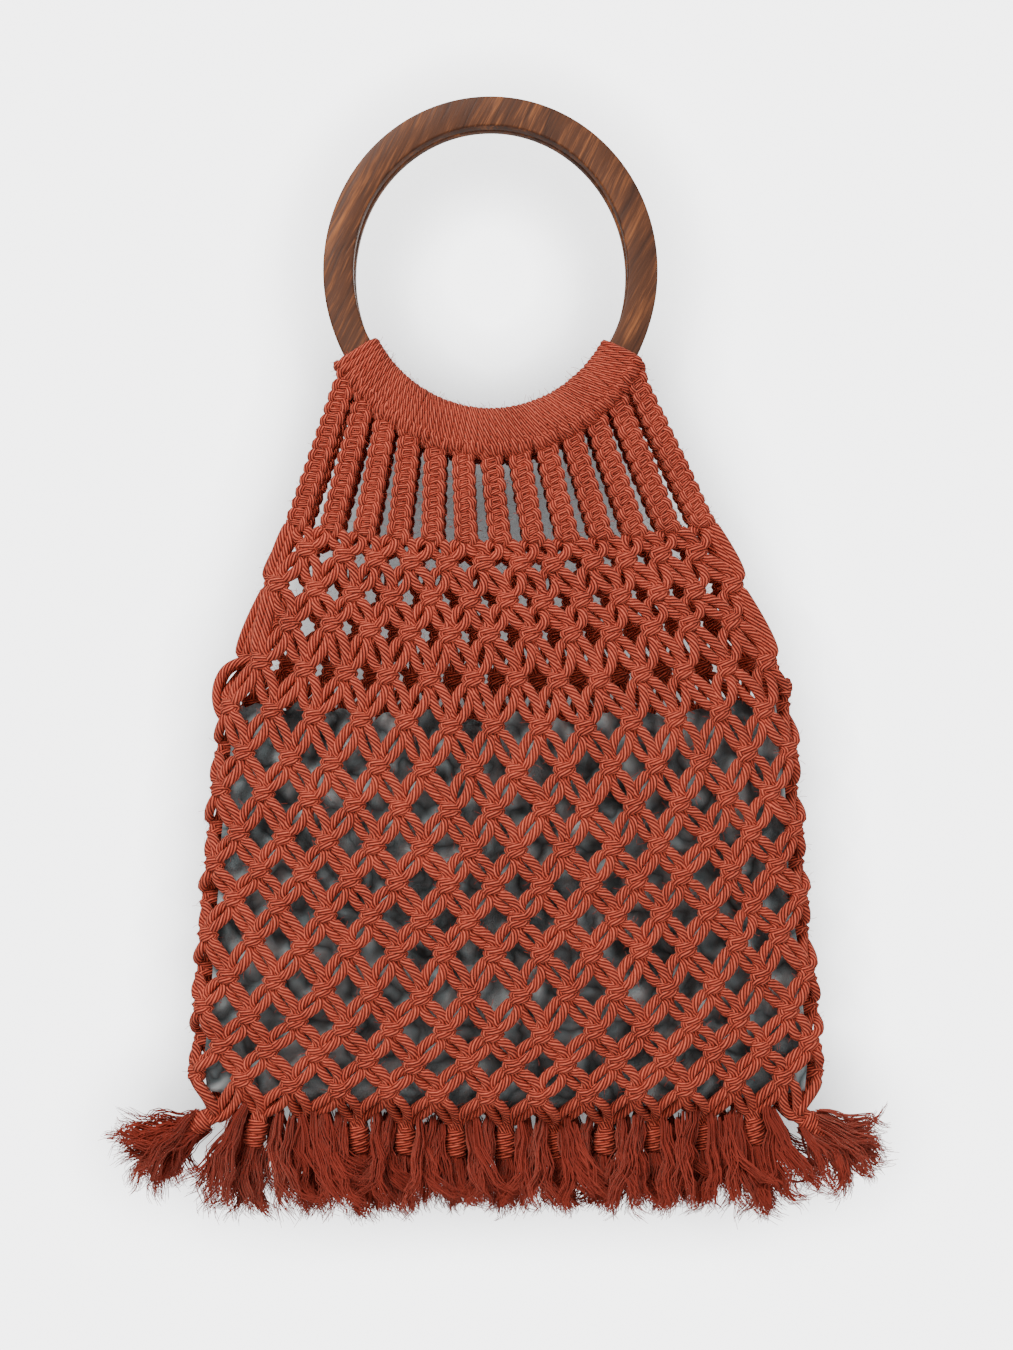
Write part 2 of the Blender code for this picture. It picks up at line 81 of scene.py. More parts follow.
class Graph:
    """A node tree that is being written, for a finish or for Geometry Nodes."""

    def __init__(self, tree: Tree) -> None:
        """Starts on an empty tree."""
        self.tree = tree

    def feed(self, socket: Socket, value: Feed) -> None:
        """Joins a socket to another, or sets its value.

        Args:
            socket: The input to set.
            value: An output, a node whose first output is meant, or a plain value.
        """
        if isinstance(value, Node):
            value = value.outputs[0]
        if isinstance(value, Socket):
            self.tree.links.new(value, socket)
        elif socket.type == "RGBA" and len(value) == 3:
            socket.default_value = (*value, 1.0)
        else:
            socket.default_value = value

    def dress(self, node: Node, feeds: dict) -> None:
        """Feeds several inputs of a node, by socket name or number."""
        for key, value in feeds.items():
            self.feed(node.inputs[key], value)

    def add(self, kind: str, feeds: Optional[dict] = None, **settings: object) -> Node:
        """Adds a node.

        Args:
            kind: The node's type name.
            feeds: What goes into its inputs, by socket name or number.
            settings: The node's own properties.

        Returns:
            The new node.
        """
        node = self.tree.nodes.new(kind)
        for name, value in settings.items():
            setattr(node, name, value)
        self.dress(node, feeds or {})
        return node

    def calc(self, operation: str, *values: Feed) -> Socket:
        """Adds a Math node and returns its result."""
        feeds = dict(enumerate(values))
        return self.add("ShaderNodeMath", feeds, operation=operation).outputs[0]

    def times(self, value: Feed, factor: Feed) -> Socket:
        """The product of two values."""
        return self.calc("MULTIPLY", value, factor)

    def plus(self, value: Feed, other: Feed) -> Socket:
        """The sum of two values."""
        return self.calc("ADD", value, other)

    def weighted(self, value: Feed, share: Feed, rest: Feed) -> Socket:
        """A value times its share, plus the rest."""
        return self.calc("MULTIPLY_ADD", value, share, rest)

    def vector(self, operation: str, *values: Feed) -> Socket:
        """Adds a Vector Math node and returns its vector."""
        feeds = dict(enumerate(values))
        return self.add("ShaderNodeVectorMath", feeds, operation=operation).outputs[0]

    def scaled(self, value: Feed, factor: Feed) -> Socket:
        """A vector times a number."""
        feeds = {0: value, "Scale": factor}
        return self.add("ShaderNodeVectorMath", feeds, operation="SCALE").outputs[0]

    def join(self, x: Feed, y: Feed, z: Feed) -> Socket:
        """Adds a Combine XYZ node and returns its vector."""
        return self.add("ShaderNodeCombineXYZ", {0: x, 1: y, 2: z}).outputs[0]

    def split(self, value: Feed) -> Sequence[Socket]:
        """Adds a Separate XYZ node and returns its three numbers."""
        return self.add("ShaderNodeSeparateXYZ", {0: value}).outputs

    def ramp(self, factor: Feed, stops: Sequence[tuple[float, Colour]]) -> Socket:
        """Adds a Color Ramp.

        Args:
            factor: What drives the ramp.
            stops: Places from 0 to 1 with their colours.

        Returns:
            The ramp's colour.
        """
        node = self.add("ShaderNodeValToRGB", {0: factor})
        elements = node.color_ramp.elements
        while len(elements) < len(stops):
            elements.new(1.0)
        for element, (place, colour) in zip(elements, stops):
            element.position = place
            element.color = (*colour, 1.0)
        return node.outputs["Color"]

    def span(
        self, value: Feed, low: float, high: float, new_low: float = 0.0, new_high: float = 1.0
    ) -> Socket:
        """Adds a clamped Map Range and returns its result."""
        feeds = {0: value, 1: low, 2: high, 3: new_low, 4: new_high}
        return self.add("ShaderNodeMapRange", feeds).outputs[0]

    def noise(self, place: Feed, scale: float, detail: float = 2.0) -> Socket:
        """Adds a Noise Texture and returns its factor."""
        feeds = {"Vector": place, "Scale": scale, "Detail": detail}
        return self.add("ShaderNodeTexNoise", feeds).outputs[0]

    def warped(self, place: Feed, scale: float, reach: Colour) -> Socket:
        """A place pushed about by a noise, by up to a reach along each axis."""
        bent = self.add("ShaderNodeTexNoise", {"Vector": place, "Scale": scale}).outputs["Color"]
        return self.vector("ADD", place, self.vector("MULTIPLY", bent, reach))

    def bump(self, height: Feed, distance: float, strength: float) -> Node:
        """Adds a Bump node."""
        feeds = {"Height": height, "Distance": distance, "Strength": strength}
        return self.add("ShaderNodeBump", feeds)

    def coords(self) -> Socket:
        """The object's own coordinates."""
        return self.add("ShaderNodeTexCoord").outputs["Object"]

    def attribute(self, name: str, output: str) -> Socket:
        """One output of a mesh attribute's node."""
        return self.add("ShaderNodeAttribute", attribute_name=name).outputs[output]


def new_material(name: str) -> tuple[Material, Graph, Node]:
    """Makes an empty material.

    Args:
        name: The material's name.

    Returns:
        The material, its graph and its Principled shader.
    """
    material = bpy.data.materials.new(name)
    material.use_nodes = True
    return material, Graph(material.node_tree), material.node_tree.nodes["Principled BSDF"]


# Finishes


@dataclass(frozen=True)
class YarnFinish:
    """Soft plied yarn whose strands wind round each cord, with painted shade in the grooves between the
    strands and a painted highlight on their crests.

    The pieces carry a "ply" attribute: the cosine and sine of the turn round the cord, and the
    distance along it.
    """

    name: str
    # the groove colour is painted shade between the strands, the crest colour a painted highlight on them
    groove_painted_shade: Colour = (0.085, 0.007, 0.004)
    body: Colour = (0.44, 0.046, 0.025)
    crest_painted_highlight: Colour = (0.95, 0.185, 0.105)
    strands: float = 8.0
    plies: float = 4.0
    turn_length: float = 0.021
    strand_height: float = 0.42
    ply_height: float = 0.12
    fibre_height: float = 0.26
    fibre_length: float = 0.0024
    fibres_across: float = 5.0
    patch_scale: float = 55.0
    patch_share: float = 0.35
    tone_shift: float = -0.18
    tone_range: tuple = (-0.38, 0.60)
    relief: float = 0.00045
    roughness: float = 0.88
    sheen: float = 0.22
    sheen_tint: Colour = (1.0, 0.50, 0.36)

    def material(self) -> Material:
        """Makes the yarn's material.

        Returns:
            The material.
        """
        material, graph, shader = new_material(self.name)
        across, depth, along = graph.split(graph.attribute("ply", "Vector"))
        wound = graph.times(along, FULL_TURN / self.turn_length)
        phase = graph.plus(graph.calc("ARCTAN2", depth, across), wound)
        strand = graph.calc("COSINE", graph.times(phase, self.strands))
        ply = graph.calc("COSINE", graph.times(phase, self.plies))
        place = graph.join(
            graph.times(graph.calc("COSINE", phase), self.fibres_across),
            graph.times(graph.calc("SINE", phase), self.fibres_across),
            graph.times(along, 1.0 / self.fibre_length),
        )
        fibre = graph.times(graph.noise(place, 1.0, 3.0), self.fibre_height)
        wound_height = graph.weighted(strand, self.strand_height, graph.times(ply, self.ply_height))
        height = graph.plus(wound_height, fibre)
        patch = graph.noise(graph.coords(), self.patch_scale)
        # the colour follows the strands' height: painted shade in the grooves and a painted highlight on
        # the crests, with random patches
        tone = graph.weighted(patch, self.patch_share, graph.plus(height, self.tone_shift))
        stops = ((0.05, self.groove_painted_shade), (0.46, self.body), (1.0, self.crest_painted_highlight))
        graph.dress(shader, {
            "Base Color": graph.ramp(graph.span(tone, *self.tone_range), stops),
            "Normal": graph.bump(height, self.relief, 1.0),
            "Roughness": self.roughness,
            "Sheen Weight": self.sheen,
            "Sheen Roughness": 0.45,
            "Sheen Tint": self.sheen_tint,
            "Specular IOR Level": 0.25,
        })
        return material


@dataclass(frozen=True)
class BrushedFinish:
    """Brushed-out yarn ends: dull fine fibres, darker towards their roots as painted shade under the
    barrels.

    The pieces carry "down", from 0 at the root to 1 at the tip, and "tint", one number a strand.
    """

    name: str
    # the default root colour is darker: painted shade where the strands crowd under the barrels
    root: Colour = (0.23, 0.027, 0.016)
    body: Colour = (0.36, 0.048, 0.029)
    tip: Colour = (0.50, 0.082, 0.050)
    painted_root_shade_share: float = 0.35
    tint_share: float = 0.40
    fleck_share: float = 0.45
    fleck_scale: float = 420.0
    tone_shift: float = -0.12
    roughness: float = 0.95
    sheen: float = 0.30
    sheen_tint: Colour = (1.0, 0.50, 0.38)

    def material(self) -> Material:
        """Makes the brushed yarn's material.

        Returns:
            The material.
        """
        material, graph, shader = new_material(self.name)
        tint = graph.times(graph.attribute("tint", "Fac"), self.tint_share)
        # lighter from root to tip, as painted shade at the roots; tint and flecks differ at random
        tone = graph.weighted(graph.attribute("down", "Fac"), self.painted_root_shade_share, tint)
        fleck = graph.noise(graph.coords(), self.fleck_scale)
        tone = graph.weighted(fleck, self.fleck_share, graph.plus(tone, self.tone_shift))
        graph.dress(shader, {
            "Base Color": graph.ramp(tone, ((0.0, self.root), (0.50, self.body), (1.0, self.tip))),
            "Roughness": self.roughness,
            "Sheen Weight": self.sheen,
            "Sheen Roughness": 0.5,
            "Sheen Tint": self.sheen_tint,
            "Specular IOR Level": 0.2,
        })
        return material


@dataclass(frozen=True)
class WoodFinish:
    """Stained hardwood whose grain runs slantwise across the whole ring."""

    name: str
    slant: float = 64.0
    shift: float = 0.0
    dark: Colour = (0.046, 0.014, 0.005)
    body: Colour = (0.122, 0.038, 0.012)
    light: Colour = (0.42, 0.140, 0.042)
    wave_scale: float = 26.0
    wave_reach: Colour = (0.0045, 0.0, 0.0045)
    # how fine each layer of the grain is along, across and through the wood
    broad_grain: Colour = (9.0, 90.0, 130.0)
    streaks: Colour = (34.0, 500.0, 780.0)
    pores: Colour = (120.0, 1200.0, 2300.0)
    figure_scale: float = 55.0
    tone_range: tuple = (0.48, 0.92)
    relief: float = 0.00012
    roughness: float = 0.5

    def material(self) -> Material:
        """Makes the wood's material.

        Returns:
            The material.
        """
        material, graph, shader = new_material(self.name)
        coords = graph.coords()
        turned = graph.add("ShaderNodeMapping", {
            "Vector": graph.warped(coords, self.wave_scale, self.wave_reach),
            "Location": (0.0, self.shift, 0.0),
            "Rotation": (0.0, math.radians(self.slant), 0.0),
        }).outputs[0]
        broad, streak, pore = (
            graph.noise(graph.vector("MULTIPLY", turned, fineness), 1.0, detail)
            for fineness, detail in ((self.broad_grain, 3.0), (self.streaks, 4.0), (self.pores, 2.0))
        )
        patch = graph.span(graph.noise(coords, self.figure_scale), 0.36, 0.64, 0.30, 0.78)
        figure = graph.times(graph.calc("SUBTRACT", streak, 0.5), patch)
        tone = graph.plus(figure, graph.weighted(broad, 0.70, 0.225))
        tone = graph.span(graph.weighted(pore, 0.24, tone), *self.tone_range)
        height = graph.weighted(pore, 0.6, streak)
        smoothest, roughest = self.roughness - 0.08, self.roughness + 0.14
        graph.dress(shader, {
            "Base Color": graph.ramp(tone, ((0.0, self.dark), (0.50, self.body), (1.0, self.light))),
            "Normal": graph.bump(height, self.relief, 0.8),
            "Roughness": graph.span(streak, 0.3, 0.7, smoothest, roughest),
            "Coat Weight": 0.05,
            "Coat Roughness": 0.35,
            "Specular IOR Level": 0.35,
        })
        return material


@dataclass(frozen=True)
class LiningFinish:
    """Dark grey, slightly shiny woven cloth, with painted shade in its creases and a painted highlight away
    from them. Its weave follows the flat cloth's UV map.
    """

    name: str
    # dark is painted shade in the creases, light a painted highlight away from them
    dark: Colour = (0.075, 0.105, 0.110)
    body: Colour = (0.35, 0.45, 0.47)
    light: Colour = (0.82, 0.95, 0.95)
    thread: float = 0.00042
    weave_share: float = 0.04
    crumple_scale: float = 62.0
    crease_painted_shade_share: float = 0.42
    warp_scale: float = 38.0
    warp_reach: Colour = (0.018, 0.018, 0.0)
    patch_scale: float = 40.0
    patch_share: float = 0.60
    tone_range: tuple = (0.26, 0.78)
    relief: float = 0.0022
    roughness: float = 0.55

    def material(self) -> Material:
        """Makes the lining's material.

        Returns:
            The material.
        """
        material, graph, shader = new_material(self.name)
        flat = graph.add("ShaderNodeUVMap", uv_map="flat_cloth").outputs[0]
        across, along, _ = graph.split(flat)
        weft, warp = (
            graph.calc("SINE", graph.times(place, FULL_TURN / self.thread)) for place in (across, along)
        )
        weave = graph.times(weft, warp)
        warped = graph.warped(flat, self.warp_scale, self.warp_reach)
        fold = graph.calc("SUBTRACT", graph.noise(warped, self.crumple_scale, 1.5), 0.5)
        crumple = graph.times(graph.calc("ABSOLUTE", fold), 5.0)
        patch = graph.times(graph.noise(flat, self.patch_scale), self.patch_share)
        # the creases darken the colour as painted shade and also give the bump; the patches differ at
        # random
        tone = graph.weighted(crumple, self.crease_painted_shade_share, patch)
        tone = graph.span(graph.weighted(weave, self.weave_share, tone), *self.tone_range)
        height = graph.weighted(weave, self.weave_share, crumple)
        graph.dress(shader, {
            "Base Color": graph.ramp(tone, ((0.0, self.dark), (0.42, self.body), (1.0, self.light))),
            "Normal": graph.bump(height, self.relief, 0.9),
            "Roughness": self.roughness,
            "Sheen Weight": 0.15,
        })
        return material


@dataclass(frozen=True)
class BackdropFinish:
    """A pale glowing surface with painted shadow, greyer where ambient occlusion finds the bag near. It
    fades out at its rim and is clear behind.
    """

    name: str
    colour: Colour = (0.99, 0.99, 1.0)
    brightness: float = 4.9
    # the reach and hardness of the painted shadow that ambient occlusion lays round the bag
    reach: float = 0.050
    painted_shadow_hardness: float = 1.95
    full_radius: float = 0.46
    rim_radius: float = 0.60

    def material(self, centre: Colour) -> Material:
        """Makes the backdrop's material.

        Args:
            centre: The middle of the round backdrop.

        Returns:
            The material.
        """
        material, graph, shader = new_material(self.name)
        # painted shadow: the glow is dimmed where ambient occlusion finds the bag near
        near = graph.add("ShaderNodeAmbientOcclusion", {"Distance": self.reach}, samples=16)
        painted_shadow_factor = graph.calc("POWER", near.outputs["AO"], self.painted_shadow_hardness)
        strength = graph.times(painted_shadow_factor, self.brightness)
        pale = graph.add("ShaderNodeEmission", {"Color": self.colour, "Strength": strength})
        away = graph.vector("SUBTRACT", graph.coords(), centre)
        reach = graph.add("ShaderNodeVectorMath", {0: away}, operation="LENGTH").outputs["Value"]
        fade = graph.span(reach, self.full_radius, self.rim_radius)
        behind = graph.add("ShaderNodeNewGeometry").outputs["Backfacing"]
        share = graph.calc("MAXIMUM", fade, behind)
        clear = graph.add("ShaderNodeBsdfTransparent")
        mixed = graph.add("ShaderNodeMixShader", {0: share, 1: pale, 2: clear})
        graph.tree.nodes.remove(shader)
        graph.feed(graph.tree.nodes["Material Output"].inputs["Surface"], mixed)
        return material


@dataclass(frozen=True)
class FloorFinish:
    """A plain pale matt floor."""

    name: str
    colour: Colour = (0.82, 0.82, 0.83)

    def material(self) -> Material:
        """Makes the floor's material.

        Returns:
            The material.
        """
        material, graph, shader = new_material(self.name)
        shade = graph.span(graph.noise(graph.coords(), 30.0, 3.0), 0.3, 0.7, 0.94, 1.0)
        graph.dress(shader, {"Base Color": graph.scaled(self.colour, shade), "Roughness": 0.9})
        return material


# The bag's shape


@dataclass(frozen=True)
class BodyForm:
    """Sizes that the whole bag shares, and the shape of its body between the two nets."""

    gap: float = 0.0003
    ring_width: float = 0.1525
    ring_height: float = 0.1605
    ring_band: float = 0.0137
    ring_thickness: float = 0.008
    ring_edge_easing: float = 0.001
    ring_tilt: float = math.radians(3.0)
    cord: float = 0.0043
    wrap_half_angle: float = math.radians(60.0)
    strips: int = 13
    strip_drop: float = 0.040
    body_width: float = 0.288
    body_depth: float = 0.049
    body_shift: float = 0.007
    net_length: float = 0.2675
    net_sag: float = 0.0094
    net_wall: float = 0.007
    join_down: float = 0.28
    bulge_power: float = 2.6
    # down the net; half width, sideways shift, fullness and open mouth as shares of full sizes
    sections: tuple = (
        (0.00, 0.698, 0.65, 0.62, 0.31),
        (0.06, 0.747, 0.70, 0.66, 0.25),
        (0.13, 0.808, 0.85, 0.71, 0.16),
        (0.20, 0.849, 1.00, 0.75, 0.07),
        (0.28, 0.893, 1.00, 0.80, 0.00),
        (0.40, 0.924, 1.00, 0.90, 0.00),
        (0.54, 0.942, 0.95, 1.00, 0.00),
        (0.64, 0.956, 0.90, 1.00, 0.00),
        (0.75, 0.975, 1.00, 0.95, 0.00),
        (0.85, 0.997, 1.00, 0.83, 0.00),
        (0.94, 1.000, 1.00, 0.55, 0.00),
        (1.00, 0.997, 1.00, 0.00, 0.00),
    )

    @property
    def net_top(self) -> float:
        """Height of the net's top edge at its two ends."""
        return self.ring_band - self.ring_height - self.cord - self.strip_drop + self.net_sag

    @property
    def full_hollow(self) -> float:
        """The fullest distance from the middle plane to the net's inner face."""
        return self.body_depth / 2 - self.net_wall - self.gap / 2

    @property
    def strip_step(self) -> float:
        """The angle round a ring from one strip to the next."""
        return 2 * self.wrap_half_angle / self.strips

    def share(self, down: float, column: int) -> float:
        """One column of the section table at a share of the net's length."""
        table = np.array(self.sections)
        return float(np.interp(down, table[:, 0], table[:, column]))

    def height(self, across: np.ndarray, down: float) -> np.ndarray:
        """Height of points across the body at a share of the net's length."""
        return self.net_top - down * self.net_length - self.net_sag * (1 - np.square(across))

    def sideways(self, across: np.ndarray, down: float) -> np.ndarray:
        """X of points across the body, from -1 at its left edge to 1 at its right."""
        half = self.share(down, 1) * self.body_width / 2
        return self.share(down, 2) * self.body_shift + np.asarray(across) * half

    def hollow(self, across: np.ndarray, down: float) -> np.ndarray:
        """Distance from the middle plane to the net's inner face.

        Args:
            across: Places from -1 at the left edge to 1 at the right.
            down: The share of the net's length.

        Returns:
            The distance at each place.
        """
        fullness, mouth = self.share(down, 3), self.share(down, 4)
        bulge = 1 - np.abs(across) ** self.bulge_power
        return self.gap / 2 + (mouth + (fullness - mouth) * bulge) * self.full_hollow

    def across_of(self, index: float) -> float:
        """The across value of a strip's middle, counted from 0 at the left."""
        return -1 + 2 * (index + 0.5) / self.strips

    def ring_place(self, side: Side) -> Matrix:
        """World placement of a ring that leans back against the other one.

        Args:
            side: Which ring.

        Returns:
            The placement.
        """
        lean = self.ring_height / 2 * math.sin(self.ring_tilt)
        half = self.ring_thickness / 2 * math.cos(self.ring_tilt)
        y = side.value * (self.gap / 2 + half + lean)
        tilt = Euler((side.value * self.ring_tilt, 0.0, 0.0)).to_matrix().to_4x4()
        return Matrix.Translation((0.0, y, self.ring_band - self.ring_height / 2)) @ tilt

    def ring_point(self, side: Side, angle: float, radial: float, out: float) -> np.ndarray:
        """A point by a ring.

        Args:
            side: Which ring.
            angle: From straight down, towards +X.
            radial: Distance outwards from the band's middle.
            out: Distance from the ring's middle plane towards its own outer face.

        Returns:
            The point in the bag's frame.
        """
        half_width = (self.ring_width - self.ring_band) / 2 + radial
        half_height = (self.ring_height - self.ring_band) / 2 + radial
        local = (half_width * math.sin(angle), side.value * out, -half_height * math.cos(angle))
        return np.array(self.ring_place(side) @ Vector(local))


FORM = BodyForm()


@dataclass
class NetSurface:
    """The middle surface of the knotted cords, by column round the bag and share down it.

    Columns 0 to 12 are the front's from left to right, and 13 to 25 the back's from right to
    left. Below the join the surface runs round the side folds; above it each panel stands alone.
    """

    form: BodyForm = FORM
    middle: float = 0.0040
    fold_inset: float = 0.0056
    fold_radius: float = 0.0042
    fold_samples: int = 24
    # share of a column that the joined net is turned round the bag, by share down it
    turn_steps: tuple = ((0.0, 0.0), (0.28, 0.27), (0.82, 0.27), (1.0, 0.06))
    samples: int = 160
    # how far the neighbours lie that give the directions at a point, and what keeps them apart
    column_step: float = 0.02
    down_step: float = 0.01
    hair: float = 1e-6

    @property
    def columns(self) -> int:
        """Columns in the round."""
        return 2 * self.form.strips

    def turned(self, column: float, down: float) -> float:
        """Where a column of knots lies once the net is turned round the bag."""
        places, turns = zip(*self.turn_steps)
        return column + float(np.interp(down, places, turns))

    def panel_point(self, column: float, down: float) -> np.ndarray:
        """A point of a panel that isn't joined to the other.

        Args:
            column: The place round the bag.
            down: The share of the net's length.

        Returns:
            The point.
        """
        front = column < self.form.strips - 0.5
        across = self.form.across_of(column if front else self.columns - 1 - column)
        y = (-1 if front else 1) * (self.form.hollow(across, down) + self.middle)
        return np.array([self.form.sideways(across, down), y, self.form.height(across, down)])

    def round_point(self, column: float, down: float) -> np.ndarray:
        """A point of the joined body, by its length round the section.

        Args:
            column: The place round the bag.
            down: The share of the net's length.

        Returns:
            The point.
        """
        half = self.form.share(down, 1) * self.form.body_width / 2
        flat = 1 - self.fold_inset / half
        across = np.linspace(-flat, flat, self.samples)
        depth = self.form.hollow(across, down) + self.middle
        turn = np.linspace(0, math.pi / 2, self.fold_samples)[:-1]
        left = -flat - np.cos(turn) * self.fold_radius / half
        fold = np.sin(turn) * depth[0]
        front_across = np.concatenate([left, across, -left[::-1]])
        front = np.stack([front_across, -np.concatenate([fold, depth, fold[::-1]])], 1)
        loop = np.concatenate([front, (front[::-1] * (1, -1))[1:]])
        x = self.form.sideways(loop[:, 0], down)
        steps = np.hypot(np.diff(x), np.diff(loop[:, 1]))
        length = np.concatenate([[0.0], np.cumsum(steps)])
        at = ((column + 0.5) % self.columns) / self.columns * length[-1]
        across_at, x_at, y_at = (float(np.interp(at, length, row)) for row in (loop[:, 0], x, loop[:, 1]))
        return np.array([x_at, y_at, float(self.form.height(np.clip(across_at, -1, 1), down))])

    def point(self, column: float, down: float) -> np.ndarray:
        """A point of the surface."""
        joined = down >= self.form.join_down
        return self.round_point(column, down) if joined else self.panel_point(column, down)

    def axes(self, column: float, down: float) -> np.ndarray:
        """The surface's directions at a point.

        Args:
            column: The place round the bag.
            down: The share of the net's length.

        Returns:
            The directions rightwards, outwards and up, as columns.
        """
        low, high = column - self.column_step, column + self.column_step
        above, below = max(0.0, down - self.down_step), min(1.0, down + self.down_step)
        if down < self.form.join_down:
            edge = self.form.strips - 0.5
            low = max(low, -0.5) if column < edge else max(low, edge + self.hair)
            high = min(high, edge - self.hair) if column < edge else min(high, 2 * edge + 0.5)
            below = min(below, self.form.join_down - self.hair)
        else:
            above = max(above, self.form.join_down)
        right = self.point(high, down) - self.point(low, down)
        right /= np.linalg.norm(right)
        up = self.point(column, above) - self.point(column, below)
        up -= right * up.dot(right)
        up /= np.linalg.norm(up)
        return np.stack([right, np.cross(right, up), up], 1)


# Cords


def smooth_leg(
    start: np.ndarray, leave: np.ndarray, end: np.ndarray, arrive: np.ndarray, bow: np.ndarray, points: int
) -> np.ndarray:
    """The inner points of a cord between two knots.

    Args:
        start: Where it leaves the upper knot.
        leave: Its direction there, with the pull as length.
        end: Where it enters the lower knot.
        arrive: Its direction there, with the pull as length.
        bow: How far its middle stands aside of that curve.
        points: How many points.

    Returns:
        The points between start and end.
    """
    t = (np.arange(1, points + 1) / (points + 1))[:, None]
    curve = (
        (2 * t**3 - 3 * t**2 + 1) * start
        + (t**3 - 2 * t**2 + t) * leave
        + (3 * t**2 - 2 * t**3) * end
        + (t**3 - t**2) * arrive
    )
    return curve + np.sin(math.pi * t) ** 0.75 * bow


@dataclass(frozen=True)
class SquareKnot:
    """The path of each cord through one square knot, or a strip of them, in the knot's frame.

    The frame's X is rightwards, Y outwards and Z up. A half knot is one bar.
    """

    bar: float = 0.0030
    reach: float = 0.0036
    front: float = 0.0029
    back: float = 0.0025
    core: float = 0.0014
    tuck: float = 0.0004
    lap: float = 0.0016
    slack: float = 0.85

    def path(self, role: Role, halves: np.ndarray) -> np.ndarray:
        """Points of one cord.

        Args:
            role: Which of the four cords.
            halves: Places counted in half knots from the top.

        Returns:
            One point for each place.
        """
        swing = np.cos(math.pi * halves)
        cross = np.square(np.sin(math.pi * halves))
        bend = np.square(swing)
        z = -self.bar * (halves + self.slack * np.sin(FULL_TURN * halves) / FULL_TURN)
        if role is Role.LEFT:
            return np.stack([-self.reach * swing, self.front * cross - self.tuck * bend, z], 1)
        if role is Role.RIGHT:
            return np.stack([self.reach * swing, -self.back * cross + self.lap * bend, z], 1)
        x = self.core * (-1 if role is Role.LEFT_CORE else 1)
        return np.stack([np.full_like(z, x), np.zeros_like(z), -self.bar * halves], 1)


def linked(name: str, data: Optional[bpy.types.ID]) -> Piece:
    """Makes an object in the scene."""
    piece = bpy.data.objects.new(name, data)
    bpy.context.scene.collection.objects.link(piece)
    return piece


@dataclass
class CordWork:
    """A set of cords that become one piece: each a tube along its route."""

    name: str
    sides: int = 8
    routes: list = field(default_factory=list)
    widths: list = field(default_factory=list)
    starts: list = field(default_factory=list)

    def lay(self, route: np.ndarray, radius: Union[float, np.ndarray], start: float = 0.0) -> None:
        """Adds a cord.

        Args:
            route: Its centre line.
            radius: Its radius, one number or one for each point.
            start: How far along its twist it starts.
        """
        self.routes.append(np.asarray(route, dtype=float))
        self.widths.append(np.broadcast_to(radius, (len(route),)).astype(float))
        self.starts.append(np.full(len(route), start))

    def lines(self) -> Piece:
        """Makes the centre lines.

        Returns:
            Loose edges with a radius and a twist start for each point.
        """
        mesh = bpy.data.meshes.new(self.name + "_lines")
        counts = [len(route) for route in self.routes]
        firsts = np.concatenate([[0], np.cumsum(counts)[:-1]])
        edges = np.concatenate([
            np.stack([np.arange(first, first + count - 1), np.arange(first + 1, first + count)], 1)
            for first, count in zip(firsts, counts)
        ])
        mesh.from_pydata(np.concatenate(self.routes), edges.tolist(), [])
        for name, values in (("thickness", self.widths), ("twist_start", self.starts)):
            layer = mesh.attributes.new(name, "FLOAT", "POINT")
            layer.data.foreach_set("value", np.concatenate(values).astype(np.float32))
        return linked(self.name, mesh)


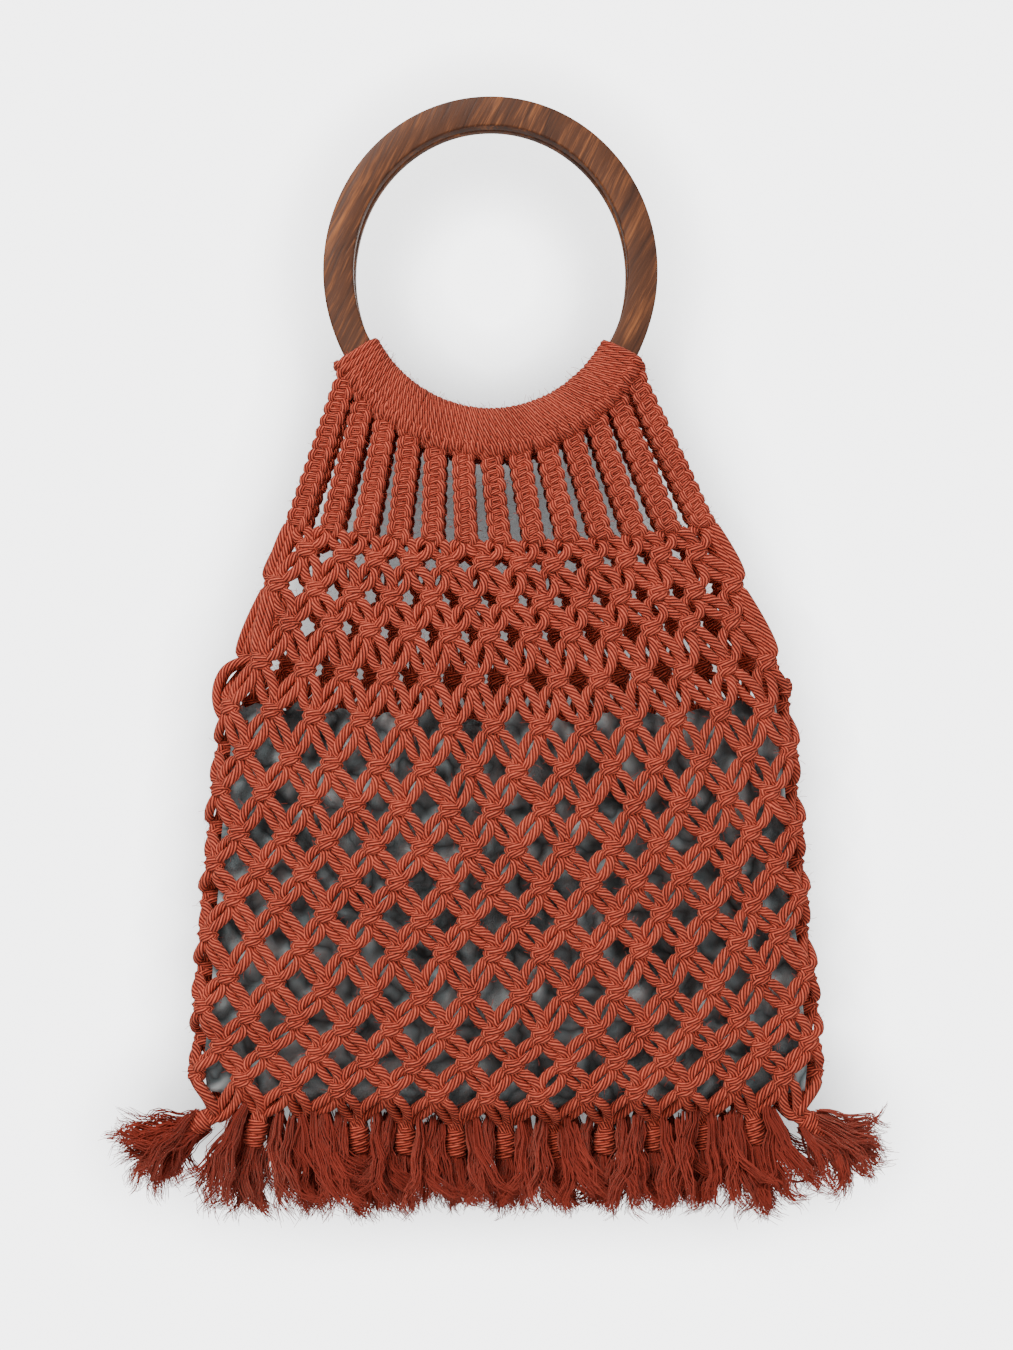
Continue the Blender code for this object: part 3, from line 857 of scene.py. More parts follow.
class PieceTree(Graph):
    """A Geometry Nodes tree with one geometry and named inputs, which makes one plain piece."""

    KINDS = {int: "NodeSocketInt", float: "NodeSocketFloat", type(None): "NodeSocketMaterial"}

    def __init__(self, name: str, sizes: dict) -> None:
        """Starts the tree.

        Args:
            name: The tree's name.
            sizes: Input names with their default values, None for the material.
        """
        super().__init__(bpy.data.node_groups.new(name, "GeometryNodeTree"))
        face = self.tree.interface
        face.new_socket("Geometry", in_out="INPUT", socket_type="NodeSocketGeometry")
        for label, value in sizes.items():
            socket = face.new_socket(label, in_out="INPUT", socket_type=self.KINDS[type(value)])
            if value is not None:
                socket.default_value = value
        face.new_socket("Geometry", in_out="OUTPUT", socket_type="NodeSocketGeometry")
        self.given = self.add("NodeGroupInput").outputs

    def make(self, kind: str, feeds: dict, **settings: object) -> Node:
        """Adds a geometry node, named without its prefix."""
        return self.add("GeometryNode" + kind, feeds, **settings)

    def named(self, name: str) -> Node:
        """Reads a number that each point carries."""
        return self.make("InputNamedAttribute", {"Name": name}, data_type="FLOAT")

    def position(self) -> Socket:
        """The place of each point."""
        return self.add("GeometryNodeInputPosition").outputs[0]

    def down(self) -> Node:
        """The Spline Parameter node, whose first output runs from 0 to 1 along a cord."""
        return self.add("GeometryNodeSplineParameter")

    def random(self, seed: int, low: Feed = 0.0, high: Feed = 1.0, index: Optional[Node] = None) -> Socket:
        """Adds a Random Value.

        Args:
            seed: Its seed.
            low: The lowest number or vector.
            high: The highest one.
            index: What tells the elements apart, if not their own numbers.

        Returns:
            The random number or vector.
        """
        vectors = isinstance(low, tuple)
        first = 0 if vectors else 2
        feeds = {first: low, first + 1: high, "Seed": seed}
        if index is not None:
            feeds["ID"] = index
        kind = "FLOAT_VECTOR" if vectors else "FLOAT"
        return self.add("FunctionNodeRandomValue", feeds, data_type=kind).outputs[0 if vectors else 1]

    def capture(self, geometry: Feed, domain: str, **items: tuple[str, Feed]) -> Sequence[Socket]:
        """Adds a Capture Attribute.

        Args:
            geometry: What carries the values.
            domain: POINT or CURVE.
            items: Each value's kind and source, by name.

        Returns:
            The node's outputs: "Geometry", and each value by name.
        """
        node = self.make("CaptureAttribute", {"Geometry": geometry}, domain=domain)
        for name, (kind, _) in items.items():
            node.capture_items.new(kind, name)
        for name, (_, value) in items.items():
            self.feed(node.inputs[name], value)
        return node.outputs

    def store(self, geometry: Feed, name: str, value: Feed, kind: str = "FLOAT") -> Node:
        """Keeps a value on the mesh's points."""
        feeds = {"Geometry": geometry, "Name": name, "Value": value}
        return self.make("StoreNamedAttribute", feeds, data_type=kind, domain="POINT")

    def tube(self, curve: Feed, profile: Feed, scale: Feed, caps: bool = True) -> Node:
        """Sweeps a profile along curves, scaled at each point."""
        feeds = {"Curve": curve, "Profile Curve": profile, "Scale": scale, "Fill Caps": caps}
        return self.make("CurveToMesh", feeds)

    def circle(self, resolution: Feed, radius: float = 1.0) -> Node:
        """Adds a circle curve."""
        return self.make("CurvePrimitiveCircle", {"Resolution": resolution, "Radius": radius})

    def close(self, geometry: Feed, material: str, smooth: bool = True) -> None:
        """Ends the tree in real meshes of one material.

        Args:
            geometry: The geometry.
            material: The name of the input that holds the material.
            smooth: Whether its faces are shaded smooth.
        """
        if smooth:
            geometry = self.make("SetShadeSmooth", {"Geometry": geometry})
        real = self.make("RealizeInstances", {"Geometry": geometry})
        dyed = self.make("SetMaterial", {"Geometry": real, "Material": self.given[material]})
        self.feed(self.add("NodeGroupOutput").inputs["Geometry"], dyed)

    def run(self, source: Piece, values: dict) -> Piece:
        """Runs the tree on an object and keeps the result as a plain mesh.

        Args:
            source: The object that the tree starts from. It is removed.
            values: The tree's inputs by name.

        Returns:
            The plain piece, with the source's name.
        """
        name = source.name
        modifier = source.modifiers.new("nodes", "NODES")
        modifier.node_group = self.tree
        for item in self.tree.interface.items_tree:
            if item.in_out == "INPUT" and item.name in values:
                modifier[item.identifier] = values[item.name]
        graph = bpy.context.evaluated_depsgraph_get()
        mesh = bpy.data.meshes.new_from_object(
            source.evaluated_get(graph), preserve_all_data_layers=True, depsgraph=graph
        )
        bpy.data.objects.remove(source, do_unlink=True)
        mesh.name = name
        return linked(name, mesh)


def settle(piece: Piece, nodes: Iterable[str] = ()) -> Piece:
    """Lets a piece ride on the bag and stand for its CAD nodes.

    Args:
        piece: The finished piece.
        nodes: The CAD nodes that it replaces, if any.

    Returns:
        The piece.
    """
    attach(piece, "root")
    if nodes:
        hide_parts(*nodes)
    log.info("%s: %d faces", piece.name, len(piece.data.polygons))
    return piece


class YarnShop:
    """What every knotted piece is made with: the tree of round cords, and the yarn."""

    twist_range: tuple = (0, 0.03)

    def __init__(self, finish: YarnFinish) -> None:
        """Builds the tree that turns centre lines into round cords with a "ply" attribute.

        Args:
            finish: The yarn's finish.
        """
        self.yarn = finish.material()
        tree = self.tree = PieceTree("cord_tubes", {"Sides": 8, "Yarn": None})
        curve = tree.make("MeshToCurve", {0: tree.given["Geometry"]})
        length = tree.down().outputs["Length"]
        along = tree.capture(curve, "POINT", along=("FLOAT", tree.plus(length, tree.named("twist_start"))))
        circle = tree.circle(tree.given["Sides"])
        turn = tree.capture(circle, "POINT", turn=("VECTOR", tree.position()))
        tube = tree.tube(along["Geometry"], turn["Geometry"], tree.named("thickness"))
        x, y, _ = tree.split(turn["turn"])
        ply = tree.store(tube, "ply", tree.join(x, y, along["along"]), "FLOAT_VECTOR")
        tree.close(ply, "Yarn")

    def twist(self, rng: np.random.Generator) -> float:
        """How far along its twist a cord starts."""
        return rng.uniform(*self.twist_range)

    def make(self, work: CordWork, *nodes: str) -> Piece:
        """Turns a set of cords into a piece that stands for its CAD nodes."""
        piece = self.tree.run(work.lines(), {"Sides": work.sides, "Yarn": self.yarn})
        return settle(piece, nodes)


# Handles


@dataclass
class RingHandle:
    """A flat wooden ring with eased edges."""

    side: Side
    finish: WoodFinish
    form: BodyForm = FORM
    segments: int = 256
    edge_steps: int = 4

    @staticmethod
    def tree() -> PieceTree:
        """Builds the tree that sweeps an eased rectangle round an ellipse, in the XZ plane.

        Returns:
            The tree.
        """
        tree = PieceTree("wooden_ring", {
            "Middle width": 0.14,
            "Middle height": 0.14,
            "Band": 0.014,
            "Thickness": 0.008,
            "Edge easing": 0.001,
            "Segments": 128,
            "Edge steps": 3,
            "Wood": None,
        })
        given = tree.given
        size = tree.join(given["Middle width"], given["Middle height"], 1.0)
        scaled = tree.vector("MULTIPLY", tree.position(), size)
        circle = tree.circle(given["Segments"], 0.5)
        ellipse = tree.make("SetPosition", {"Geometry": circle, "Position": scaled})
        section = tree.make(
            "CurvePrimitiveQuadrilateral", {"Width": given["Band"], "Height": given["Thickness"]}
        )
        easing = {"Curve": section, "Radius": given["Edge easing"], "Count": given["Edge steps"]}
        eased = tree.make("FilletCurve", easing, mode="POLY")
        ring = tree.make("CurveToMesh", {"Curve": ellipse, "Profile Curve": eased})
        upright = tree.make("Transform", {"Geometry": ring, "Rotation": (math.pi / 2, 0.0, 0.0)})
        tree.close(upright, "Wood")
        return tree

    def build(self, tree: PieceTree) -> None:
        """Makes the ring in its place.

        Args:
            tree: The ring's tree.
        """
        name = f"wooden_ring_{self.side.word}"
        ring = tree.run(linked(name, bpy.data.meshes.new(name + "_start")), {
            "Middle width": self.form.ring_width - self.form.ring_band,
            "Middle height": self.form.ring_height - self.form.ring_band,
            "Band": self.form.ring_band,
            "Thickness": self.form.ring_thickness,
            "Edge easing": self.form.ring_edge_easing,
            "Segments": self.segments,
            "Edge steps": self.edge_steps,
            "Wood": self.finish.material(),
        })
        ring.data.transform(self.form.ring_place(self.side))
        settle(ring, [f"ring_{self.side.word}"])


@dataclass
class RingWrap:
    """The turns of cord wound side by side round the lower third of a ring."""

    side: Side
    form: BodyForm = FORM
    turns_for_strip: int = 4
    points: int = 18
    overlap: float = 0.04
    lift: float = 0.0022
    inner_radius: float = 0.00150
    outer_radius: float = 0.00188
    slant: float = math.radians(1.1)
    seed: int = 11

    def turn(self, angle: float, slant: float) -> tuple[np.ndarray, np.ndarray]:
        """One turn round the band, which starts and ends on its hidden face.

        Args:
            angle: The turn's angle from straight down.
            slant: How far the turn leans along the ring between its two edges.

        Returns:
            The turn's points and its radius at each.
        """
        half_band = self.form.ring_band / 2 + self.lift
        half_thick = self.form.ring_thickness / 2 + self.lift
        route, radius = [], []
        for t in np.linspace(-self.overlap, 1 + self.overlap, self.points):
            around = FULL_TURN * t - math.pi / 2
            c, s = math.cos(around), math.sin(around)
            round_off = (abs(c) ** 4 + abs(s) ** 4) ** -0.25
            radial, out = half_band * c * round_off, half_thick * s * round_off
            share = (radial / half_band + 1) / 2
            at = angle + slant * (share - 0.5) * math.copysign(1.0, out)
            route.append(self.form.ring_point(self.side, at, radial, out))
            radius.append(self.inner_radius + (self.outer_radius - self.inner_radius) * share)
        return np.array(route), np.array(radius)

    def build(self, shop: YarnShop) -> Piece:
        """Makes the wrap.

        Args:
            shop: What cords are made with.

        Returns:
            The wrap.
        """
        rng = np.random.default_rng(self.seed + self.side.value)
        work = CordWork(f"wrap_cords_{self.side.word}", sides=10)
        count = self.form.strips * self.turns_for_strip
        step = 2 * self.form.wrap_half_angle / count
        for index in range(count):
            angle = -self.form.wrap_half_angle + (index + 0.5 + rng.normal(0, 0.05)) * step
            route, radius = self.turn(angle, self.slant * (1 + rng.normal(0, 0.3)))
            work.lay(route, radius * rng.uniform(0.96, 1.05), shop.twist(rng))
        return shop.make(work, f"ring_wrap_{self.side.word}")


# Knotted work


@dataclass(frozen=True)
class StripFrame:
    """Where one strip starts and ends, with its rightward direction at both."""

    start: np.ndarray
    end: np.ndarray
    right_top: np.ndarray
    right_end: np.ndarray

    @property
    def length(self) -> float:
        """The strip's length."""
        return float(np.linalg.norm(self.end - self.start))

    def world(self, local: np.ndarray) -> np.ndarray:
        """Moves points from the strip's frame, whose Z goes up from its start, to the bag's.

        Args:
            local: The points: rightwards, outwards and up.

        Returns:
            The points in the bag's frame.
        """
        down = (self.end - self.start) / self.length
        share = np.clip(-local[:, 2] / self.length, 0, 1)[:, None]
        right = self.right_top * (1 - share) + self.right_end * share
        right -= down * (right @ down)[:, None]
        right /= np.linalg.norm(right, axis=1)[:, None]
        out = np.cross(right, -down)
        return self.start - down * local[:, 2:] + right * local[:, :1] + out * local[:, 1:2]


@dataclass
class KnotStrips:
    """The thirteen strips of square knots between a wrap and its net."""

    side: Side
    form: BodyForm = FORM
    knot_pitch: float = 0.0057
    core_radius: float = 0.0023
    core_apart: float = 0.0034
    bend_radius: float = 0.00186
    bar_radius: float = 0.00155
    seat: float = 0.0020
    # a bend at the right edge, and a bar across the cores: sideways, outwards, up
    bend: tuple = (
        (0.0020, 0.0010, 0.0026), (0.0030, 0.0027, 0.0018), (0.0036, 0.0033, 0.0003),
        (0.0034, 0.0027, -0.0013), (0.0024, 0.0008, -0.0022),
    )
    bar: tuple = (
        (-0.0021, 0.0014, 0.0002), (-0.0012, 0.0026, 0.0001), (0.0, 0.0029, 0.0),
        (0.0012, 0.0026, -0.0001), (0.0021, 0.0014, -0.0002),
    )
    # where the four cords come over the wrap's edge, as shares of a strip's step, and their bend:
    # distances from the band's edge outwards, and from its outer face
    collar_places: tuple = (-0.36, -0.12, 0.12, 0.36)
    collar_bend: tuple = (
        (-0.0016, 0.0012), (0.0006, 0.0020), (0.0030, 0.0006), (0.0044, -0.0022), (0.0050, -0.0050),
    )
    collar_radius: float = 0.0020
    seed: int = 23

    def angle(self, index: int) -> float:
        """A strip's angle round the ring, from straight down."""
        return -self.form.wrap_half_angle + (index + 0.5) * self.form.strip_step

    def frame(self, index: int) -> StripFrame:
        """Where a strip starts and ends.

        Args:
            index: The strip's number from the left.

        Returns:
            The strip's frame.
        """
        angle, radial = self.angle(index), self.form.ring_band / 2 + self.seat
        start = self.form.ring_point(self.side, angle, radial, 0.0)
        beside = self.form.ring_point(self.side, angle + 0.01, radial, 0.0)
        column = index if self.side is Side.FRONT else 2 * self.form.strips - 1 - index
        surface = NetSurface(self.form)
        right = (beside - start) * -self.side.value
        right_end = surface.axes(column, 0.0)[:, 0]
        return StripFrame(start, surface.point(column, 0.0), right / np.linalg.norm(right), right_end)

    def collar(self, index: int, rng: np.random.Generator) -> list[np.ndarray]:
        """The short bends of a strip's four cords where they come over the wrap's edge.

        Args:
            index: The strip's number from the left.
            rng: The random numbers.

        Returns:
            The bends' points.
        """
        band, thick = self.form.ring_band / 2, self.form.ring_thickness / 2
        bends = []
        for place in self.collar_places:
            angle = self.angle(index) + (place + rng.normal(0, 0.015)) * self.form.strip_step
            low = rng.uniform(-0.0006, 0.0006)
            for face in (1.0, -1.0):
                bends.append(np.array([
                    self.form.ring_point(
                        self.side, angle + rng.normal(0, 0.006), band + radial + low, face * (thick + out)
                    )
                    for radial, out in self.collar_bend
                ]))
        return bends

    def build(self, shop: YarnShop) -> Piece:
        """Makes a panel's strips.

        Args:
            shop: What cords are made with.

        Returns:
            The strips, as one piece.
        """
        rng = np.random.default_rng(self.seed + self.side.value)
        work = CordWork(f"strip_cords_{self.side.word}", sides=7)
        for index in range(self.form.strips):
            place = self.frame(index)
            halves = 2 * max(2, round(place.length / self.knot_pitch))
            pitch = place.length / halves
            for side in (-0.5, 0.5):
                heights = np.linspace(0, -place.length, halves + 1)
                core = np.array([[side * self.core_apart, 0.0, z] for z in heights])
                work.lay(place.world(core), self.core_radius, shop.twist(rng))
            for half in range(halves):
                middle = (0.0, 0.0, -(half + 0.5) * pitch)
                turn = 1 if half % 2 else -1
                for face in (1, -1):
                    bar = np.array(self.bar) * (turn * face, face, 1) + middle
                    work.lay(place.world(bar), self.bar_radius * rng.uniform(0.96, 1.08), shop.twist(rng))
                    shift = rng.normal(0, (0.0001, 0.0001, 0.0002))
                    bend = np.array(self.bend) * (turn, face, 1) + middle + shift
                    work.lay(place.world(bend), self.bend_radius * rng.uniform(0.95, 1.08), shop.twist(rng))
            for collar in self.collar(index, rng):
                work.lay(collar, self.collar_radius, shop.twist(rng))
        return shop.make(work, *(f"sinnet_{self.side.word}_{k + 1:02d}" for k in range(self.form.strips)))


@dataclass(frozen=True)
class KnotPlace:
    """One square knot of the net: where it is and how it is turned."""

    centre: np.ndarray
    axes: np.ndarray

    def world(self, local: np.ndarray) -> np.ndarray:
        """Moves points from the knot's frame to the bag's."""
        return self.centre + local @ self.axes.T


@dataclass
class KnottedNet:
    """The net of alternating square knots: 104 cords that pass from row to row."""

    form: BodyForm = FORM
    knot: SquareKnot = SquareKnot()
    # Rows of knots down the net. Odd rows lie between two strips, even rows below one.
    rows: tuple = (
        0.037, 0.099, 0.157, 0.2325, 0.311, 0.385, 0.453, 0.520,
        0.580, 0.638, 0.698, 0.765, 0.828, 0.883, 0.938,
    )
    first_joined_row: int = 5
    # the cords that hang free at a side edge above the join, and those of them that swell outwards
    edge_cords: tuple = (0, 1, 50, 51, 52, 53, 102, 103)
    left_edge_cords: tuple = (0, 1, 52, 53)
    core_points: int = 4
    knot_points: int = 13
    leg_points: int = 5
    leg_step: float = 0.0024
    leg_radius: float = 0.00240
    knot_radius: float = 0.00200
    leg_spread: float = 0.0024
    long_leg: float = 0.022
    long_leg_spread: float = 0.0008
    edge_swell: float = 0.0008
    leg_pull: float = 0.55
    long_leg_pull: float = 0.35
    strip_lap: float = 0.0022
    turn_jitter: float = math.radians(6.0)
    place_jitter: float = 0.0005
    bow_jitter: float = 0.0004
    seed: int = 37
    places: dict = field(default_factory=dict)

    def __post_init__(self) -> None:
        """Prepares the surface and the random numbers."""
        self.surface = NetSurface(self.form)
        self.rng = np.random.default_rng(self.seed)

    @property
    def slots(self) -> int:
        """Cords in the round."""
        return 4 * self.surface.columns

    def place(self, row: int, column: float) -> KnotPlace:
        """The place of a knot, made once and shared by its four cords.

        Args:
            row: The row's number, from 1.
            column: Where it is round the bag.

        Returns:
            The knot's place.
        """
        key = (row, column % self.surface.columns)
        if key not in self.places:
            down = self.rows[row - 1]
            column = self.surface.turned(column, down)
            axes = self.surface.axes(column, down)
            turn = self.rng.normal(0, self.turn_jitter / 2)
            c, s = math.cos(turn), math.sin(turn)
            spin = np.array([[c, 0, -s], [0, 1, 0], [s, 0, c]])
            shift = self.rng.normal(0, self.place_jitter, 3) * (1, 0.5, 1)
            centre = self.surface.point(column, down) + axes @ shift
            self.places[key] = KnotPlace(centre, axes @ spin)
        return self.places[key]

    def knot_for(self, slot: int, row: int) -> Optional[tuple[float, Role]]:
        """Which knot of a row a cord goes through.

        Args:
            slot: The cord's number round the bag.
            row: The row's number, from 1.

        Returns:
            The knot's column and the cord's role, or None where it hangs free at a side edge.
        """
        if row % 2 == 0:
            return slot // 4, Role(slot % 4)
        if row < self.first_joined_row and slot in self.edge_cords:
            return None
        return (slot + 2) // 4 - 0.5, Role((slot + 2) % 4)

    def knot_path(self, role: Role) -> np.ndarray:
        """A cord's points in one square knot, whose middle is the frame's."""
        core = role in (Role.LEFT_CORE, Role.RIGHT_CORE)
        halves = np.linspace(0, 2, self.core_points if core else self.knot_points)
        return self.knot.path(role, halves) + (0.0, 0.0, self.knot.bar)

    def strip_end(self, slot: int) -> tuple[np.ndarray, np.ndarray, Role]:
        """Where a cord comes out of its strip.

        Args:
            slot: The cord's number round the bag.

        Returns:
            Its points there, the way down and its role.
        """
        column, role = slot // 4, Role(slot % 4)
        axes = self.surface.axes(column, 0.0)
        start = self.knot.path(role, np.array([0.0]))[0]
        start = self.surface.point(column, 0.0) + axes @ start
        return np.array([start + axes[:, 2] * self.strip_lap, start]), -axes[:, 2], role

    def cord(self, slot: int, barrel: "FringeBarrels") -> tuple[np.ndarray, np.ndarray]:
        """The whole route of a cord from its strip to its barrel.

        Args:
            slot: The cord's number round the bag.
            barrel: The barrels below.

        Returns:
            The points and the radius at each.
        """
        points, down, role = self.strip_end(slot)
        route, radius = [points], [np.full(len(points), self.knot_radius)]
        last = points[-1]
        for row in range(1, len(self.rows) + 2):
            if row <= len(self.rows):
                found = self.knot_for(slot, row)
                if found is None:
                    continue
                column, next_role = found
                place = self.place(row, column)
                next_points = place.world(self.knot_path(next_role))
                arrive, right = -place.axes[:, 2], place.axes[:, 0]
            else:
                next_points, arrive = barrel.entry(slot)
                next_role = role
            span = next_points[0] - last
            reach = float(np.linalg.norm(span))
            is_long = reach > self.long_leg
            sideways = right - span * right.dot(span) / reach**2
            sign = 1 if role in (Role.LEFT_CORE, Role.RIGHT) else -1
            spread = self.long_leg_spread if is_long else self.leg_spread
            bow = sideways * sign * spread * self.rng.uniform(0.75, 1.2)
            if is_long:
                bow += sideways * self.edge_swell * (-1 if slot in self.left_edge_cords else 1)
            bow += np.cross(right, -arrive) * self.rng.normal(0, self.bow_jitter)
            count = max(self.leg_points, round(reach / self.leg_step))
            pull = reach * (self.long_leg_pull if is_long else self.leg_pull)
            leg = smooth_leg(last, down * pull, next_points[0], arrive * pull, bow, count)
            route += [leg, next_points]
            radius += [np.full(count, self.leg_radius), np.full(len(next_points), self.knot_radius)]
            last, down, role = next_points[-1], arrive, next_role
        return np.concatenate(route), np.concatenate(radius)

    def build(self, side: Side, barrel: "FringeBarrels", shop: YarnShop) -> Piece:
        """Makes the cords of one face.

        Args:
            side: The face.
            barrel: The barrels that the cords end in.
            shop: What cords are made with.

        Returns:
            The face's net.
        """
        half = self.slots // 2
        first = 0 if side is Side.FRONT else half
        work = CordWork(f"net_cords_{side.word}")
        for slot in range(first, first + half):
            work.lay(*self.cord(slot, barrel), shop.twist(self.rng))
        return shop.make(work, f"net_{side.word}")


@dataclass
class SideTrim:
    """The loop that stands out at the left end of the join, and the knot at the right one."""

    form: BodyForm = FORM
    loop_cord: float = 0.0022
    # the loop's outer cord: sideways and up from the edge
    loop_path: tuple = (
        (0.0130, 0.0125), (0.0060, 0.0120), (-0.0008, 0.0085), (-0.0044, 0.0012),
        (-0.0048, -0.0070), (-0.0022, -0.0140), (0.0034, -0.0172), (0.0100, -0.0172),
    )
    # each cord of the loop: how far it stands out, share of the path's height, place to the front
    loop_cords: tuple = ((1.0, 1.0, 0.0014), (0.94, 0.94, -0.0030))
    loop_root: float = 0.0130
    loop_points: int = 29
    loop_smoothing: int = 4
    knot_cord: float = 0.0019
    knot_turns: float = 3.2
    knot_points: int = 52
    knot_reach: float = 0.0021
    knot_height: float = 0.0026
    knot_shift: float = -0.0004

    def edge(self, sign: int) -> np.ndarray:
        """The outer side of both panels where they join."""
        down = self.form.join_down
        return np.array([self.form.sideways(sign, down), 0.0, self.form.height(sign, down)])

    def loop(self, shop: YarnShop) -> None:
        """Makes the left loop: two cords side by side that stand out and come back.

        Args:
            shop: What cords are made with.
        """
        work = CordWork("side_loop_cords", sides=9)
        path = np.array(self.loop_path)
        steps = np.linspace(0, len(path) - 1, self.loop_points)
        for wide, tall, front in self.loop_cords:
            curve = np.stack([np.interp(steps, np.arange(len(path)), row) for row in path.T], 1)
            for _ in range(self.loop_smoothing):
                curve[1:-1] = (curve[:-2] + 2 * curve[1:-1] + curve[2:]) / 4
            x = self.loop_root - (self.loop_root - curve[:, 0]) * wide
            flat = np.stack([x, np.full_like(x, -front), curve[:, 1] * tall], 1)
            work.lay(self.edge(-1) + flat, self.loop_cord, 0.01 * tall)
        shop.make(work, "side_loop_left")

    def knot(self, shop: YarnShop) -> None:
        """Makes the right knot: a cord wound about three times round the edge.

        Args:
            shop: What cords are made with.
        """
        work = CordWork("side_knot_cords", sides=9)
        turn = np.linspace(0, self.knot_turns, self.knot_points)
        around, share = FULL_TURN * turn, turn / turn[-1]
        coil = np.stack([
            self.knot_reach * np.cos(around) + self.knot_shift,
            self.knot_reach * np.sin(around),
            self.knot_height * (1 - 2 * share),
        ], 1)
        swell = np.sin(math.pi * share)[:, None] * (0.45, 0.45, 0) + (0.6, 0.6, 1.0)
        work.lay(self.edge(1) + coil * swell, self.knot_cord)
        shop.make(work, "side_knot_right")


# Pouch


@dataclass
class PouchSide:
    """One wrinkled cloth side of the pouch that hangs inside the net."""

    side: Side
    form: BodyForm = FORM
    width_share: float = 0.965
    top: float = 0.30
    foot: float = 0.972
    edge_waves: float = 0.006
    top_waves: float = 0.0022
    clearance: float = 0.0027
    least_depth: float = 0.0006
    thickness: float = 0.0005
    columns: int = 110
    rows: int = 84
    folds: int = 70
    fold_depth: float = 0.0050
    fold_curve: float = 0.12
    seed: int = 53

    def wrinkles(self, x: np.ndarray, z: np.ndarray) -> np.ndarray:
        """How far each point is pushed inwards: sharp creases in many directions.

        Args:
            x: Sideways places, in metres.
            z: Places down the cloth, in metres.

        Returns:
            The push, in metres.
        """
        rng = np.random.default_rng(self.seed + self.side.value)
        push = np.zeros_like(x)
        for _ in range(self.folds):
            cx, cz = rng.uniform(-0.13, 0.14), rng.uniform(0.0, 0.18)
            angle = rng.uniform(0, math.pi)
            length, width = rng.uniform(0.014, 0.045), rng.uniform(0.0020, 0.005)
            along = (x - cx) * math.cos(angle) + (z - cz) * math.sin(angle)
            off = -(x - cx) * math.sin(angle) + (z - cz) * math.cos(angle)
            off += self.fold_curve * along**2 / length
            ridge = np.exp(-np.abs(off) / width) * np.exp(-((along / length) ** 2))
            push += ridge * rng.uniform(0.35, 1.0)
        return self.fold_depth * np.tanh(push)

    def row(self, down: float) -> tuple[np.ndarray, np.ndarray]:
        """One row of the cloth's points.

        Args:
            down: The share of the net's length.

        Returns:
            The points in the bag's frame, and on the flat cloth.
        """
        u = np.linspace(-1, 1, self.columns) * self.width_share
        sway = math.sin(31 * down + 1.3) + 0.6 * math.sin(67 * down)
        x = self.form.sideways(u * (1 - self.edge_waves * (1 + 0.5 * sway)), down)
        ripple = np.sin(17 * u + 0.7) + 0.7 * np.sin(41 * u) + 0.4 * np.sin(83 * u)
        near_top = np.clip(1 - (down - self.top) * 6, 0, 1)
        z = self.form.height(u, down) + self.top_waves * ripple * near_top
        push = self.wrinkles(x, self.form.net_top - z - self.top * self.form.net_length)
        inside = np.clip((1 - np.abs(u / self.width_share)) * 8, 0, 1)
        depth = self.form.hollow(u, down) - self.clearance - push * inside
        place = np.stack([x, self.side.value * np.maximum(self.least_depth, depth), z], 1)
        fall = np.full_like(u, -down * self.form.net_length)
        return place, np.stack([u * self.form.body_width / 2, fall], 1)

    def build(self, finish: LiningFinish) -> None:
        """Makes the cloth side.

        Args:
            finish: The cloth's finish.
        """
        rows = [self.row(down) for down in np.linspace(self.top, self.foot, self.rows)]
        points, flats = (np.concatenate(part) for part in zip(*rows))
        wide = self.columns
        firsts = [j * wide + i for j in range(self.rows - 1) for i in range(wide - 1)]
        faces = [(a, a + wide, a + wide + 1, a + 1) for a in firsts]
        if self.side is Side.BACK:
            faces = [face[::-1] for face in faces]
        mesh = bpy.data.meshes.new(f"pouch_cloth_{self.side.word}")
        mesh.from_pydata(points, [], faces)
        layer = mesh.uv_layers.new(name="flat_cloth")
        loops = np.empty(len(mesh.loops), dtype=np.int32)
        mesh.loops.foreach_get("vertex_index", loops)
        layer.uv.foreach_set("vector", flats[loops].astype(np.float32).ravel())
        mesh.shade_smooth()
        mesh.materials.append(finish.material())
        cloth = linked(mesh.name, mesh)
        wall = cloth.modifiers.new("cloth_wall", "SOLIDIFY")
        wall.thickness, wall.offset = self.thickness, -1.0
        settle(cloth, [f"lining_{self.side.word}"])


# Fringe


@dataclass(frozen=True)
class Tassel:
    """One bundle of the fringe: where its barrel hangs and how its ends spread."""

    across: float
    lean: float
    spread: float
    length: float
    curl: float
    covers_barrel: bool = False


# across, lean, spread, length, curl, whether its locks fall over the barrel
TASSELS = (
    Tassel(-0.945, -60.0, 1.10, 1.16, 8.0),
    Tassel(-0.79, -12.0, 1.20, 1.12, 26.0),
    Tassel(-0.635, 6.0, 1.05, 1.00, 24.0, True),
    Tassel(-0.475, 4.0, 1.00, 1.00, 12.0),
    Tassel(-0.32, -2.0, 0.95, 0.90, -22.0),
    Tassel(-0.16, 0.0, 1.00, 0.88, 18.0),
    Tassel(0.00, 0.0, 0.95, 0.88, -12.0),
    Tassel(0.16, 2.0, 1.05, 0.88, 22.0, True),
    Tassel(0.32, -2.0, 1.00, 0.90, -20.0),
    Tassel(0.475, 0.0, 1.05, 0.94, 16.0, True),
    Tassel(0.635, 0.0, 1.05, 0.94, -14.0, True),
    Tassel(0.79, 8.0, 1.20, 1.10, 20.0),
    Tassel(0.945, 56.0, 1.00, 1.06, -10.0),
)


